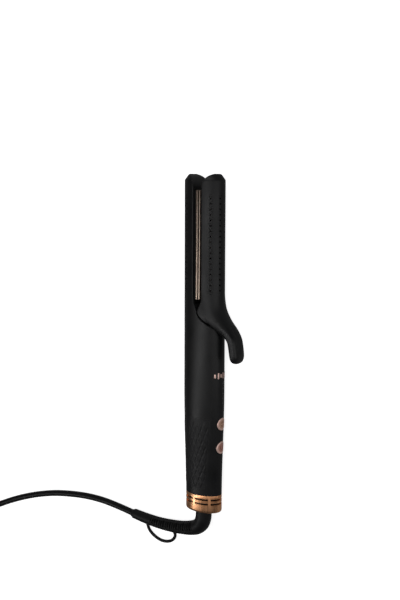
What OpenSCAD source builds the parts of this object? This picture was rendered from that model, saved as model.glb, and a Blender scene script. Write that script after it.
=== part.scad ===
// Hand-held hair styler with two long heated arms, a thumb lever and a cool-air fan.
// The tool lies on its side on a table, with its cord, coil and plug on the same table.
// Tool frame: z runs from the end cap to the tips, +x is the lever side, y runs across.
// Row frame: Y is the tool's axis, +X the lever side, +Z up from the table.

/* [Overall] */
// Length from the end cap to the tips
tool_length = 312; // [290:1:340]
// Depth of the arms and the upper handle, lever side to back
arm_depth = 40; // [34:0.5:46]
// Width of the arms and the upper handle, across the plates
arm_width = 28.5; // [25:0.5:34]
// Depth of the lower handle at the end cap
cap_depth = 36.5; // [32:0.5:46]
// Width of the lower handle at the end cap
cap_width = 23; // [21:0.5:30]
// Wall of the plastic shells
wall = 2; // [1.5:0.1:2.4]

/* [Arms] */
// Distance from the handle's upper end to the heated plates
root_gap = 5.5; // [3.5:0.5:8]
// Length of the heated plates
plate_length = 99.5; // [80:0.5:105]
// Width of the heated plates
plate_width = 25; // [18:0.5:26]
// Thickness of the heated plates
plate_thick = 2.3; // [1.5:0.1:3]
// Gap between the two closed plates
plate_gap = 0.4; // [0.2:0.1:0.8]
// Distance from the plates' meeting plane to each shell's rim
rim_x = 4.3; // [3.8:0.1:5.5]
// Length of the solid tip of each arm
tip_length = 14; // [12:0.5:18]
// Vent holes in each column
vent_count = 18; // [8:1:18]
// Distance between vent holes in a column
vent_pitch = 4.88; // [4:0.02:5]
// Side of each vent hole
vent_size = 1.5; // [1:0.1:2]
// Plates' float on their springs
plate_float = 0.6; // [0.3:0.1:1]

/* [Lever] */
// How far the lever's outer face stands out from the arm
lever_stand = 19; // [18:0.5:24]
// Width of the thumb lever
lever_width = 18; // [14:0.5:20]
// Radius of the hinge pin
pin_r = 1.5; // [1.2:0.1:1.8]
// Opening angle of the arms
open_angle = 14; // [8:1:15]

/* [Handle] */
// Height of the end cap
cap_height = 16.6; // [14:0.2:20]
// Width of the smooth front panel
panel_width = 20; // [17:0.5:21]
// Lower end of the textured grip
grip_low_z = 22.5; // [20:0.5:26]
// Upper end of the textured grip
grip_high_z = 89.5; // [80:0.5:100]
// Thickness of the textured grip
grip_thick = 0.8; // [0.5:0.1:1]
// Radius of the round buttons
button_r = 5.8; // [4.5:0.1:6.5]
// Height of the lower button's centre
button_z = 61.6; // [58:0.2:66]
// Distance between the buttons' centres
button_pitch = 22; // [18:0.5:24]
// Travel of a button
button_travel = 0.7; // [0.4:0.1:0.8]
// Number of indicator lights
light_count = 5; // [3:1:5]

/* [Fan] */
// Clearance round the fan shroud
fan_clearance = 0.5; // [0.3:0.1:1.5]
// Blades on the fan rotor
blade_count = 7; // [5:1:9]

/* [Cord] */
// Diameter of the mains cord
cord_d = 6.3; // [5.5:0.1:7]
// Radius of the strain relief where it leaves the cap
relief_r = 7.5; // [6.5:0.1:7.6]
// Length of a plug pin
plug_pin_length = 19; // [19:1:19]
// Radius of a plug pin
plug_pin_r = 2; // [2:0.1:2]
// Distance between the plug pins
plug_pin_pitch = 19; // [19:0.1:19]

/* [Hidden] */

ring_steps = 36;
running = 0.05;
hair = 0.02;
far = 80;

// Where the row's origin sits, from the cap's centre on the table
face_x = arm_depth / 2;
lever_reach = face_x + lever_stand;
origin_x = lever_stand / 2;
origin_y = tool_length / 2;
axis_z = arm_width / 2;

// The handle's taper
taper_low = 14;
taper_high = 112;

// Arms
plate_high_z = tool_length - tip_length - 0.5;
plate_low_z = plate_high_z - plate_length;
vent_angles = [-50, -18, 18, 50];
tip_low_z = tool_length - tip_length;
arm_root_z = plate_low_z - root_gap;
vent_high_z = plate_high_z - 7.5;
plate_back_x = plate_gap / 2 + plate_thick;
carrier_x = plate_back_x + plate_float + 0.1;
carrier_back_x = rim_x + 2.4;
carrier_half_y = (arm_width / 2 - wall) * sqrt(1 - pow(carrier_back_x / (arm_depth / 2 - wall), 2)) - 0.15;
heater_thick = 2.4;

// Hinge, and what lines up with it
hinge_x = arm_depth / 2 - 4.5;
hinge_z = arm_root_z - 20;
panel_top_z = hinge_z - 26.5;
ear_r = 2.9;
lug_clear_r = 3.4;
lug_half_y = 3.2;
lug_inner_y = 1.5;
ear_half_y = 5.1;
spring_wire = 0.7;

// Buttons and board
board_x = min(arm_depth, cap_depth) / 2 - 8.05;
board_thick = 1.6;
board_low_z = button_z - 11.6;
board_high_z = panel_top_z - 18;
board_slack = 0.2;
switch_thick = 1.6;
light_low_z = panel_top_z - 43;
light_pitch = 4.6;
badge_z = panel_top_z - 17;
button_stand = 0.35;
screw_r = 1;
screw_head = 1.3;
rib_zs = [button_z + 34.4, panel_top_z - 21];

// Fan and swivel
fan_low_z = 26;
fan_depth = 9;
rotor_low_z = 27.5;
rotor_depth = 5;
fan_r = half_width(fan_low_z) - wall - fan_clearance;
motor_r = 4.6;
motor_depth = 14;
shaft_r = 0.75;
cap_floor = 2;
spindle_r = 6;
spindle_top_z = 10;
collar_r = cap_width / 2 - wall - 0.3;
flange_r = collar_r - 0.6;
flange_low_z = cap_floor + 0.2;
flange_thick = 2.4;
slot_zs = [cap_height - 4, cap_height - 8];
slot_height = 1.4;
slot_ribs = [[38, 9], [109, 9], [180, 9], [251, 9], [322, 9]];

// Strain relief: points on the table plan, with a radius each
relief_route = [
    [0, 1.9, axis_z], [0, -3.6, axis_z], [-1.4, -8.8, axis_z], [-4.6, -13.6, 14],
    [-9.6, -17.8, 13.6], [-16.6, -21.4, 12.8], [-26.4, -24.4, 11.4], [-40, -26.6, 9.6], [-55, -27.5, 7.9],
    [-72, -26.9, 6.4], [-89, -25.4, 5]
];
relief_radii = [relief_r, relief_r, relief_r, 7.3, 7, 6.6, 6, 5.6, 5.2, 4.8, 4.3];
// Hang loop: points on the table plan
loop_wire_r = 1.4;
loop_route = [
    [-37.5, -31.5, 8.4], [-38, -36, 6.4], [-40.5, -41, 4.2], [-46, -46, 2.4], [-53, -48.6, 1.5],
    [-60, -48.6, 1.5], [-67.5, -46.2, 1.7], [-73, -41.5, 3], [-75, -36, 4.4], [-75, -30.6, 5.4]
];
// Cord from the strain relief to the coil
coil_lift = 0.8;
cord_r = cord_d / 2;
cord_route = [
    [-89, -25.4, 5], [-108, -23, 3.6], [-129, -20.8, cord_r], [-150, -20.6, cord_r],
    [-171, -22.4, cord_r], [-193, -25.8, cord_r], [-215, -31.2, cord_r],
    [-236, -38, cord_r], [-255, -45.4, cord_r], [-272, -53, cord_r], [-289, -60.8, cord_r],
    [-305.5, -68.4, cord_r + 0.2]
];
coil_x = -348.2;
coil_y = -32.6;
coil_outer_r = 50.5;
coil_inner_r = 24;
coil_layers = 2;
tie_angle = 20;
tie_width = 10;
tie_thick = 0.7;
tie_slack = 0.12;
// Cord from the coil to the plug
plug_z = 7.2;
tail_route = [
    [-388.4, 5.6, 8.4], [-382, 17.4, 6], [-374, 29.5, 4.2], [-365.4, 40.8, 4.2],
    [-357.4, 50.8, 5.8], [-350, 60, plug_z]
];
plug_angle = 51.5;
sleeve_length = 20;
plug_length = 36;
plug_width = 35;
plug_thick = 13.8;

// ---------- shared shapes ----------

function ease(t) = let (c = max(0, min(1, t))) c * c * (3 - 2 * c);
function taper(z) = ease((z - taper_low) / (taper_high - taper_low));
function half_depth(z) = (cap_depth + (arm_depth - cap_depth) * taper(z)) / 2;
function half_width(z) = (cap_width + (arm_width - cap_width) * taper(z)) / 2;
function oval(a, b) = [for (i = [0 : ring_steps - 1])
    let (t = 360 * i / ring_steps) [a * cos(t), b * sin(t)]];
function inner_x(z, y) = (half_depth(z) - wall) * sqrt(1 - pow(y / (half_width(z) - wall), 2));
function inner_y(z, x) = (half_width(z) - wall) * sqrt(1 - pow(x / (half_depth(z) - wall), 2));
function span(low, high, steps) = [for (i = [0 : steps]) low + (high - low) * i / steps];
function unit(v) = v / norm(v);

// Moves the table plan to the row frame
module on_table() {
    translate([-origin_x, -origin_y, 0]) children();
}

// Lays the tool frame on its side on the table
module lay() {
    on_table() translate([0, 0, axis_z]) rotate([-90, 0, 0]) children();
}

// Closed solid through rings of equal point counts, listed anticlockwise seen from the end
module skin(rings) {
    n = len(rings[0]);
    last = len(rings) - 1;
    sides = [for (k = [0 : last - 1]) for (i = [0 : n - 1])
        let (a = k * n + i, b = k * n + (i + 1) % n)
        each [[a, a + n, b + n], [a, b + n, b]]];
    ends = [[for (i = [0 : n - 1]) i], [for (i = [n - 1 : -1 : 0]) last * n + i]];
    polyhedron([for (r = rings) each r], concat(sides, ends));
}

// The tool's outer form between two heights, drawn inwards by inset
module body_form(low, high, steps, inset = 0) {
    skin([for (z = span(low, high, steps))
        [for (p = oval(half_depth(z) - inset, half_width(z) - inset)) [p.x, p.y, z]]]);
}

// The straight upper form as a true prism
module arm_form(low, high, inset = 0) {
    translate([0, 0, low]) linear_extrude(high - low)
        polygon(oval(arm_depth / 2 - inset, arm_width / 2 - inset));
}

// A block with its low corner and its high corner given
module block(low, high) {
    translate(low) cube(high - low);
}

// A cylinder along y, centred on y = 0 plane between two y values
module across(x, z, r, y0, y1, fn = 32) {
    translate([x, y0, z]) rotate([-90, 0, 0]) cylinder(h = y1 - y0, r = r, $fn = fn);
}

// A cylinder along x from x0 to x1
module along_x(y, z, r, x0, x1, fn = 48) {
    translate([x0, y, z]) rotate([0, 90, 0]) cylinder(h = x1 - x0, r = r, $fn = fn);
}

// A round tube through route points, with a radius at each point
module sweep(route, radii, sides = 10) {
    last = len(route) - 1;
    skin([for (i = [0 : last])
        let (
            t = unit(route[min(i + 1, last)] - route[max(i - 1, 0)]),
            s = unit(cross([0, 0, 1], t)),
            u = cross(t, s)
        )
        [for (k = [0 : sides - 1]) let (w = 360 * k / sides)
            route[i] + radii[i] * (cos(w) * s + sin(w) * u)]]);
}

// ---------- clamp outline, seen from the side ----------

// Raises outline points, whose second value counts from the hinge
function from_hinge(points) = [for (p = points) [p.x, hinge_z + p.y]];

lever_low_z = hinge_z - 31;
lever_outer = from_hinge([
    [face_x - 0.2, 25.5], [face_x + 1, 17.5], [face_x + 3.6, 11.5], [face_x + 7.6, 5.9],
    [face_x + 12.2, -0.1], [lever_reach - 2.6, -7.5], [lever_reach - 1, -14.6],
    [lever_reach, -23.6], [lever_reach - 0.3, -28.4], [lever_reach - 1.8, -30.6]
]);
lever_inner = from_hinge([
    [lever_reach - 4.8, -31], [lever_reach - 6.9, -29], [lever_reach - 7.6, -24.6],
    [lever_reach - 8.8, -16.4], [lever_reach - 11, -10.4], [lever_reach - 14, -6.6],
    [face_x, -3.9]
]);
lever_root = from_hinge([[face_x - 3, 1.5], [face_x - 3, 25.5]]);
parting_line = from_hinge([
    [face_x, -4.1], [face_x - 2.2, -0.5], [face_x - 5.2, 2.1], [face_x - 9.4, 4.5],
    [face_x - 13.6, 7.5], [2.4, 11.1], [0.4, 15.1]
]);

module clamp_zone() {
    polygon(concat(
        [[far, hinge_z - 7.5], [far, far * 5], [0.4, far * 5]],
        [for (i = [len(parting_line) - 1 : -1 : 0]) parting_line[i]],
        [[face_x + 7, hinge_z - 6.4]]
    ));
}

// The clamp's zone turned through its whole travel, which the handle leaves free
module clamp_sweep() {
    for (a = [0 : open_angle / 2 : open_angle])
        translate([hinge_x, hinge_z]) rotate(-a) translate([-hinge_x, -hinge_z])
            offset_zone();
}

module offset_zone() {
    translate([-0.2, -0.5]) clamp_zone();
}

// Turns a side outline (x, z) into a slab between two y values
module side_slab(y0, y1) {
    translate([0, y1, 0]) rotate([90, 0, 0]) linear_extrude(y1 - y0) children();
}

// ---------- handle ----------

module panel_box(low, high, slack = 0) {
    block([6, -panel_width / 2 - slack, low], [far, panel_width / 2 + slack, high]);
}

module grip_zone() {
    difference() {
        block([-far, -far, grip_low_z], [far, far, grip_high_z]);
        block([0, -panel_width / 2 - 0.6, grip_low_z - 1], [far, panel_width / 2 + 0.6, grip_high_z + 1]);
    }
}

module handle_housing() {
    color([0.06, 0.06, 0.06]) lay() {
        difference() {
            union() {
                difference() {
                    body_form(cap_height, taper_high, 9);
                    body_form(cap_height - 1, taper_high + 1, 9, wall);
                }
                difference() {
                    arm_form(taper_high, arm_root_z);
                    arm_form(taper_high - 1, arm_root_z + 1, wall);
                }
            }
            panel_box(cap_height + 2, panel_top_z);
            intersection() {
                difference() {
                    body_form(cap_height + 1, taper_high, 9, -1);
                    body_form(cap_height, taper_high + 1, 9, grip_thick);
                }
                grip_zone();
            }
            side_slab(-far, far) clamp_sweep();
            for (s = [-1, 1])
                across(hinge_x, hinge_z, ear_r + 0.5, s > 0 ? lug_half_y : -far, s > 0 ? far : -lug_half_y);
        }
        // Lugs that carry the hinge pin
        lug_thick = lug_half_y - lug_inner_y;
        for (y = [-lug_half_y, lug_inner_y]) difference() {
            foot = [hinge_x - 1.4, y, panel_top_z + 2];
            union() {
                hull() {
                    across(hinge_x, hinge_z, ear_r - 0.3, y, y + lug_thick);
                    block(foot, [hinge_x + 0.7, y + lug_thick, panel_top_z + 14]);
                }
                block(foot, [face_x - wall / 2, y + lug_thick, panel_top_z + 10]);
            }
            across(hinge_x, hinge_z, pin_r + hair, -far, far);
        }
    }
}

module front_panel() {
    color([0.07, 0.07, 0.07]) lay() {
        difference() {
            intersection() {
                union() {
                    difference() {
                        body_form(cap_height, taper_high, 9);
                        body_form(cap_height - 1, taper_high + 1, 9, wall);
                    }
                    difference() {
                        arm_form(taper_high, panel_top_z);
                        arm_form(taper_high - 1, panel_top_z + 1, wall);
                    }
                }
                panel_box(cap_height + 2, panel_top_z);
            }
            for (i = [0, 1])
                along_x(0, button_z + i * button_pitch, button_r + 0.25, 0, far);
            for (i = [0 : light_count - 1])
                along_x(0, light_low_z + i * light_pitch, 0.65, 0, far, 24);
        }
        // Ribs that the board is screwed to
        for (z = rib_zs) difference() {
            intersection() {
                block([board_x + board_thick, -6, z - 1.6], [half_depth(z) - 1, 6, z + 1.6]);
                body_form(z - 5, z + 5, 1, 1);
            }
            along_x(0, z, screw_r + hair, 0, board_x + 5, 24);
        }
    }
}

module grip_sleeve() {
    color([0.05, 0.05, 0.05]) lay() intersection() {
        difference() {
            body_form(cap_height + 1, taper_high, 9);
            body_form(cap_height, taper_high + 1, 9, grip_thick);
        }
        difference() {
            block([-far, -far, grip_low_z + 0.1], [far, far, grip_high_z - 0.1]);
            block([0, -panel_width / 2 - 0.7, 0], [far, panel_width / 2 + 0.7, far * 2]);
        }
    }
}

module slot_band(z) {
    difference() {
        translate([0, 0, z - slot_height / 2]) linear_extrude(slot_height)
            polygon(oval(far / 2, far / 2));
        for (rib = slot_ribs) rotate([0, 0, rib[0]])
            block([0, -tan(rib[1] / 2) * 16, 0], [far, tan(rib[1] / 2) * 16, cap_height]);
    }
}

module end_cap() {
    color([0.72, 0.42, 0.28]) lay() difference() {
        skin([for (row = [[0, 2, 1.7], [0.7, 1, 0.8], [2.2, 0.3, 0.2], [cap_height, 0, 0]])
            [for (p = oval(cap_depth / 2 - row[1], cap_width / 2 - row[2])) [p.x, p.y, row[0]]]]);
        translate([0, 0, cap_floor]) linear_extrude(cap_height)
            polygon(oval(cap_depth / 2 - wall, cap_width / 2 - wall));
        translate([0, 0, -1]) cylinder(h = cap_floor + 2, r = relief_r + 0.4, $fn = 48);
        for (z = slot_zs) slot_band(z);
    }
}

module intake_filter() {
    mesh_step = 2.4;
    mesh_hole = 1.6;
    color([0.3, 0.3, 0.3]) lay() difference() {
        translate([0, 0, cap_height - 2]) linear_extrude(1)
            polygon(oval(cap_depth / 2 - wall - 0.1, cap_width / 2 - wall - 0.1));
        for (i = [-4 : 4]) for (j = [-2 : 2])
            translate([i * mesh_step, j * mesh_step, cap_height / 2])
                cube([mesh_hole, mesh_hole, cap_height], center = true);
    }
}

module swivel_collar() {
    collar_low_z = flange_low_z + flange_thick + 0.1;
    color([0.75, 0.75, 0.72]) lay() difference() {
        union() {
            translate([0, 0, collar_low_z])
                cylinder(h = spindle_top_z - collar_low_z, r = collar_r, $fn = 48);
            for (a = [0, 180]) rotate([0, 0, a])
                block([collar_r - 0.2, -2.5, collar_low_z], [inner_x(0, 2.5) - 0.1, 2.5, spindle_top_z]);
        }
        cylinder(h = cap_height, r = spindle_r + running, $fn = 48);
    }
}

// ---------- fan ----------

module fan_shroud() {
    color([0.2, 0.2, 0.2]) lay() {
        difference() {
            translate([0, 0, fan_low_z]) cylinder(h = fan_depth + 4, r = fan_r, $fn = 60);
            translate([0, 0, fan_low_z - 1]) cylinder(h = fan_depth + 6, r = fan_r - 0.7, $fn = 60);
        }
        // Guide vanes that carry the motor
        difference() {
            for (i = [0 : 4]) rotate([0, 0, i * 72])
                block([0, -0.4, fan_low_z + 8], [fan_r - 0.4, 0.4, fan_low_z + 12]);
            cylinder(h = far, r = motor_r + hair, $fn = 48);
        }
        // Feet against the housing
        for (a = [0, 180]) rotate([0, 0, a])
            block([fan_r - 0.4, -2, fan_low_z + 2], [inner_x(fan_low_z, 2) - 0.2, 2, fan_low_z + 8]);
    }
}

module fan_motor() {
    color([0.6, 0.6, 0.62]) lay() {
        translate([0, 0, fan_low_z + 7.4]) cylinder(h = motor_depth, r = motor_r, $fn = 48);
        translate([0, 0, rotor_low_z + 1]) cylinder(h = 7, r = shaft_r, $fn = 24);
    }
}

module fan_rotor() {
    color([0.1, 0.1, 0.1]) lay() difference() {
        union() {
            translate([0, 0, rotor_low_z]) cylinder(h = rotor_depth, r = 3.4, $fn = 40);
            for (i = [0 : blade_count - 1]) rotate([0, 0, i * 360 / blade_count])
                translate([3, 0, rotor_low_z + rotor_depth / 2]) rotate([35, 0, 0])
                    translate([0, -2.4, -0.3]) cube([fan_r - 4.55, 4.8, 0.6]);
        }
        translate([0, 0, rotor_low_z + 0.8]) cylinder(h = rotor_depth, r = shaft_r + running, $fn = 24);
    }
}

module air_duct() {
    duct_low = fan_low_z + fan_depth + 13;
    duct_high = arm_root_z - 24;
    duct_half_y = half_width(duct_low) - wall - 4;
    duct_back = inner_x(duct_low, duct_half_y) - 2.2;
    duct_front = board_x - screw_head - 0.3;
    duct_wall = 0.8;
    color([0.5, 0.5, 0.48]) lay() {
        difference() {
            block([-duct_back, -duct_half_y, duct_low], [duct_front, duct_half_y, duct_high]);
            block([-duct_back + duct_wall, -duct_half_y + duct_wall, duct_low - 1],
                [duct_front - duct_wall, duct_half_y - duct_wall, duct_high + 1]);
        }
        // Bosses against the housing's back
        for (z = [duct_low + 20, duct_high - 16])
            block([-inner_x(z, 3) + 0.2, -3, z], [-duct_back + duct_wall / 2, 3, z + 6]);
    }
}

// ---------- electrics ----------

module control_board() {
    front_x = board_x + board_thick;
    half_y = min(inner_y(board_low_z, front_x), inner_y(board_high_z, front_x)) - board_slack;
    color([0.05, 0.3, 0.15]) lay() difference() {
        block([board_x, -half_y, board_low_z], [front_x, half_y, board_high_z]);
        for (z = rib_zs) along_x(0, z, screw_r + 0.15, 0, far, 24);
    }
}

module button_switches() {
    color([0.15, 0.15, 0.16]) lay() for (i = [0, 1]) translate([0, 0, button_z + i * button_pitch]) {
        block([board_x + board_thick, -3, -3], [board_x + board_thick + switch_thick - 0.6, 3, 3]);
        along_x(0, 0, 1.6, board_x + board_thick, board_x + board_thick + switch_thick, 32);
    }
}

module board_screws() {
    color([0.7, 0.7, 0.72]) lay() for (z = rib_zs) {
        along_x(0, z, screw_r, board_x - 0.5, board_x + 4.8, 24);
        along_x(0, z, 1.9, board_x - screw_head, board_x, 32);
    }
}

module indicator_lights() {
    color([0.8, 0.8, 0.75]) lay() for (i = [0 : light_count - 1]) {
        z = light_low_z + i * light_pitch;
        along_x(0, z, 0.6, half_depth(z) - wall - 0.6, half_depth(z) - 0.05, 24);
    }
}

module name_badge() {
    color([0.78, 0.5, 0.38]) lay() intersection() {
        difference() {
            arm_form(badge_z - 6, badge_z + 6, -0.15);
            arm_form(badge_z - 7, badge_z + 7);
        }
        for (i = [-3 : 3]) {
            half = i % 2 == 0 ? 2.8 : 1.7;
            block([0, i * 2.7 - 0.6, badge_z - half], [far, i * 2.7 + 0.6, badge_z + half]);
        }
    }
}

module round_button(z) {
    x_low = board_x + board_thick + switch_thick + button_travel + 0.1;
    color([0.85, 0.55, 0.45]) lay() intersection() {
        along_x(0, z, button_r, x_low, far);
        body_form(z - button_r - 1, z + button_r + 1, 4, -button_stand);
    }
}

module power_button() { round_button(button_z); }
module mode_button() { round_button(button_z + button_pitch); }

// ---------- arms ----------

// Zone of one arm beyond its rim, on the +x side
module rim_zone(low, high) {
    block([rim_x, -far, low], [far, far, high]);
}

module vents() {
    for (angle = vent_angles) {
        y = arm_width / 2 * sin(angle);
        x = arm_depth / 2 * cos(angle);
        for (i = [0 : vent_count - 1])
            translate([x, y, vent_high_z - i * vent_pitch]) rotate([0, 0, angle])
                cube([8, vent_size, vent_size], center = true);
    }
}

module arm_shell(low) {
    difference() {
        intersection() {
            difference() {
                arm_form(low, tip_low_z);
                arm_form(low - 1, tip_low_z + 1, wall);
            }
            rim_zone(low, tip_low_z);
        }
        vents();
    }
}

// One arm's closed tip: chamfered round its edge, with a slanted inner face
module arm_tip() {
    a = arm_depth / 2;
    b = arm_width / 2;
    intersection() {
        skin([for (row = [[tip_low_z, 0], [tool_length - 5, 0], [tool_length - 1.1, 3.1], [tool_length, 4.4]])
            [for (p = oval(a - row[1], b - row[1])) [p.x, p.y, row[0]]]]);
        side_slab(-far, far) polygon([
            [rim_x, tip_low_z], [rim_x, tool_length - 11], [rim_x + 1.4, tool_length - 6.5],
            [rim_x + 4.2, tool_length - 2.4], [rim_x + 8.4, tool_length], [far, tool_length], [far, tip_low_z]
        ]);
    }
}

module plate_carrier() {
    block([carrier_x, -carrier_half_y + 0.3, plate_low_z], [rim_x + 0.1, carrier_half_y - 0.3, plate_high_z]);
    block([rim_x, -carrier_half_y, plate_low_z - 3], [carrier_back_x, carrier_half_y, plate_high_z + 0.4]);
}

module heat_plate() {
    block([plate_gap / 2, -plate_width / 2, plate_low_z], [plate_back_x, plate_width / 2, plate_high_z]);
}

module heater() {
    block([carrier_back_x, -7.5, plate_low_z + 4], [carrier_back_x + heater_thick, 7.5, plate_high_z - 4]);
}

module plate_springs() {
    for (z = [plate_low_z + 12, plate_high_z - 12])
        translate([plate_back_x, 0, z]) rotate([0, 90, 0])
            cylinder(h = plate_float + 0.1, r = 3, $fn = 32);
}

module back_side() {
    mirror([1, 0, 0]) children();
}

module fixed_arm_shell() {
    color([0.06, 0.06, 0.06]) lay() back_side() arm_shell(arm_root_z);
}

module fixed_arm_tip() {
    color([0.06, 0.06, 0.06]) lay() back_side() arm_tip();
}

module fixed_plate_carrier() {
    color([0.04, 0.04, 0.04]) lay() back_side() plate_carrier();
}

module fixed_heat_plate() {
    color([0.45, 0.38, 0.33]) lay() back_side() heat_plate();
}

module fixed_heater() {
    color([0.85, 0.8, 0.7]) lay() back_side() heater();
}

module fixed_plate_springs() {
    color([0.6, 0.25, 0.2]) lay() back_side() plate_springs();
}

module clamp_arm_shell() {
    color([0.06, 0.06, 0.06]) lay() {
        // Vented shell and its root down to the parting line
        difference() {
            union() {
                arm_shell(arm_root_z);
                intersection() {
                    difference() {
                        arm_form(hinge_z - 10, arm_root_z);
                        arm_form(hinge_z - 11, arm_root_z + 1, wall);
                    }
                    side_slab(-far, far) clamp_zone();
                }
            }
            across(hinge_x, hinge_z, pin_r + running, -far, far);
            across(hinge_x, hinge_z, lug_clear_r, -lug_half_y - 0.2, lug_half_y + 0.2);
        }
        // Thumb lever
        difference() {
            intersection() {
                side_slab(-lever_width / 2, lever_width / 2)
                    polygon(concat(lever_outer, lever_inner, lever_root));
                union() {
                    hull() for (s = [-1, 1]) {
                        translate([0, s * (lever_width / 2 - 3), hinge_z - 0.5]) rotate([0, 90, 0])
                            cylinder(h = far, r = 3, $fn = 32);
                        translate([0, s * (lever_width / 2 - 6.5), lever_low_z + 6.5]) rotate([0, 90, 0])
                            cylinder(h = far, r = 6.5, $fn = 32);
                    }
                    block([0, -lever_width / 2, hinge_z - 0.5], [far, lever_width / 2, far * 5]);
                }
            }
            arm_form(hinge_z - 32, hinge_z + 28, 1);
            across(hinge_x, hinge_z, lug_clear_r, -lug_half_y - 0.2, lug_half_y + 0.2);
        }
        // Ears on the hinge pin
        for (s = [-1, 1]) difference() {
            intersection() {
                hull() {
                    across(hinge_x, hinge_z, ear_r, s > 0 ? lug_half_y + 0.25 : -ear_half_y,
                        s > 0 ? ear_half_y : -lug_half_y - 0.25);
                    block([hinge_x - 1, s > 0 ? lug_half_y + 0.25 : -ear_half_y, hinge_z + 6],
                        [face_x, s > 0 ? ear_half_y : -lug_half_y - 0.25, hinge_z + 14]);
                }
                arm_form(hinge_z - 32, hinge_z + 28, 0.5);
            }
            across(hinge_x, hinge_z, pin_r + running, -far, far);
        }
    }
}

module clamp_arm_tip() {
    color([0.06, 0.06, 0.06]) lay() arm_tip();
}

module clamp_plate_carrier() {
    color([0.04, 0.04, 0.04]) lay() plate_carrier();
}

module clamp_heat_plate() {
    color([0.45, 0.38, 0.33]) lay() heat_plate();
}

module clamp_heater() {
    color([0.85, 0.8, 0.7]) lay() heater();
}

module clamp_plate_springs() {
    color([0.6, 0.25, 0.2]) lay() plate_springs();
}

// Soft pad with finger ribs on the lever's slope
module lever_pad() {
    pad_low = lever_outer[5];
    pad_high = lever_outer[3];
    slope = unit(pad_high - pad_low);
    out = [slope.y, -slope.x];
    color([0.08, 0.08, 0.08]) lay() side_slab(-lever_width / 2 + 2.4, lever_width / 2 - 2.4)
        polygon(concat(
            [lever_outer[5], lever_outer[4], lever_outer[3]],
            [for (t = [1 : -0.1 : -0.01])
                pad_low + (pad_high - pad_low) * (0.06 + 0.88 * t) + out * (0.9 + 0.7 * sin(180 * t))]
        ));
}

module hinge_pin() {
    color([0.7, 0.7, 0.72]) lay() across(hinge_x, hinge_z, pin_r, -ear_half_y, ear_half_y);
}

// Torsion spring between the lugs, with one leg down into the handle
module lever_spring() {
    coil_r = pin_r + 0.1 + spring_wire / 2;
    color([0.65, 0.65, 0.66]) lay() translate([hinge_x, 0, hinge_z]) {
        for (i = [-1, 0, 1]) rotate([90, 0, 0]) translate([0, 0, i * spring_wire * 0.95])
            rotate_extrude($fn = 32) translate([coil_r, 0]) circle(r = spring_wire / 2, $fn = 24);
        translate([-coil_r, 0, -12]) cylinder(h = 12, r = spring_wire / 2 - 0.03, $fn = 24);
    }
}

// ---------- cord set ----------

module swivel_spindle() {
    color([0.12, 0.12, 0.12]) lay() {
        translate([0, 0, cap_floor]) cylinder(h = spindle_top_z - cap_floor, r = spindle_r, $fn = 48);
        translate([0, 0, flange_low_z]) cylinder(h = flange_thick, r = flange_r, $fn = 48);
    }
}

module strain_relief() {
    color([0.07, 0.07, 0.07]) on_table() sweep(relief_route, relief_radii, 16);
}

module hang_loop() {
    color([0.07, 0.07, 0.07]) on_table() sweep(loop_route, [for (p = loop_route) loop_wire_r], 10);
}

module power_cord() {
    color([0.08, 0.08, 0.08]) on_table() sweep(cord_route, [for (p = cord_route) cord_r], 10);
}

module cord_coil() {
    color([0.08, 0.08, 0.08]) on_table() translate([coil_x, coil_y, coil_lift]) rotate_extrude($fn = 96)
        translate([coil_inner_r - cord_r, 0])
            square([coil_outer_r - coil_inner_r + cord_d, coil_layers * cord_d]);
}

module cord_tie() {
    low_r = coil_inner_r - cord_r - tie_slack;
    high_r = coil_outer_r + cord_r + tie_slack;
    top = coil_lift + coil_layers * cord_d;
    color([0.1, 0.1, 0.1]) on_table() translate([coil_x, coil_y, 0]) rotate([0, 0, tie_angle]) difference() {
        block([0, -tie_width / 2, 0], [high_r + tie_thick, tie_width / 2, top + tie_thick]);
        translate([0, 0, -1]) cylinder(h = far, r = low_r - tie_thick, $fn = 96);
        difference() {
            block([0, -far, coil_lift - hair], [high_r, far, top + tie_slack]);
            cylinder(h = far, r = low_r, $fn = 96);
        }
    }
}

module cord_tail() {
    color([0.08, 0.08, 0.08]) on_table() sweep(tail_route, [for (p = tail_route) cord_r], 10);
}

// The plug's frame: z = 0 at the sleeve's cord end, growing towards the pins
module at_plug() {
    end = tail_route[len(tail_route) - 1];
    on_table() translate(end) rotate([0, 0, plug_angle]) rotate([0, 90, 0]) children();
}

module plug_sleeve() {
    color([0.07, 0.07, 0.07]) at_plug() cylinder(h = sleeve_length, r1 = cord_r + 0.6, r2 = 5.2, $fn = 32);
}

module plug_body() {
    color([0.07, 0.07, 0.07]) at_plug() translate([0, 0, sleeve_length]) intersection() {
        translate([-plug_thick / 2, 0, 0]) rotate([90, 0, 90]) linear_extrude(plug_thick) polygon([
            [-6, 0], [6, 0], [plug_width / 2 - 4, plug_length * 0.5], [plug_width / 2, plug_length * 0.62],
            [plug_width / 2, plug_length - 2], [plug_width / 2 - 2, plug_length],
            [-plug_width / 2 + 2, plug_length], [-plug_width / 2, plug_length - 2],
            [-plug_width / 2, plug_length * 0.62], [-plug_width / 2 + 4, plug_length * 0.5]
        ]);
        rotate([0, 0, 90]) hull() for (s = [-1, 1])
            translate([s * (plug_width / 2 - plug_thick / 2), 0, 0])
                cylinder(h = plug_length, r = plug_thick / 2, $fn = 32);
    }
}

module plug_pins() {
    color([0.75, 0.75, 0.77]) at_plug() for (s = [-1, 1])
        translate([0, s * plug_pin_pitch / 2, sleeve_length + plug_length])
            cylinder(h = plug_pin_length, r = plug_pin_r, $fn = 32);
}

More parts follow.
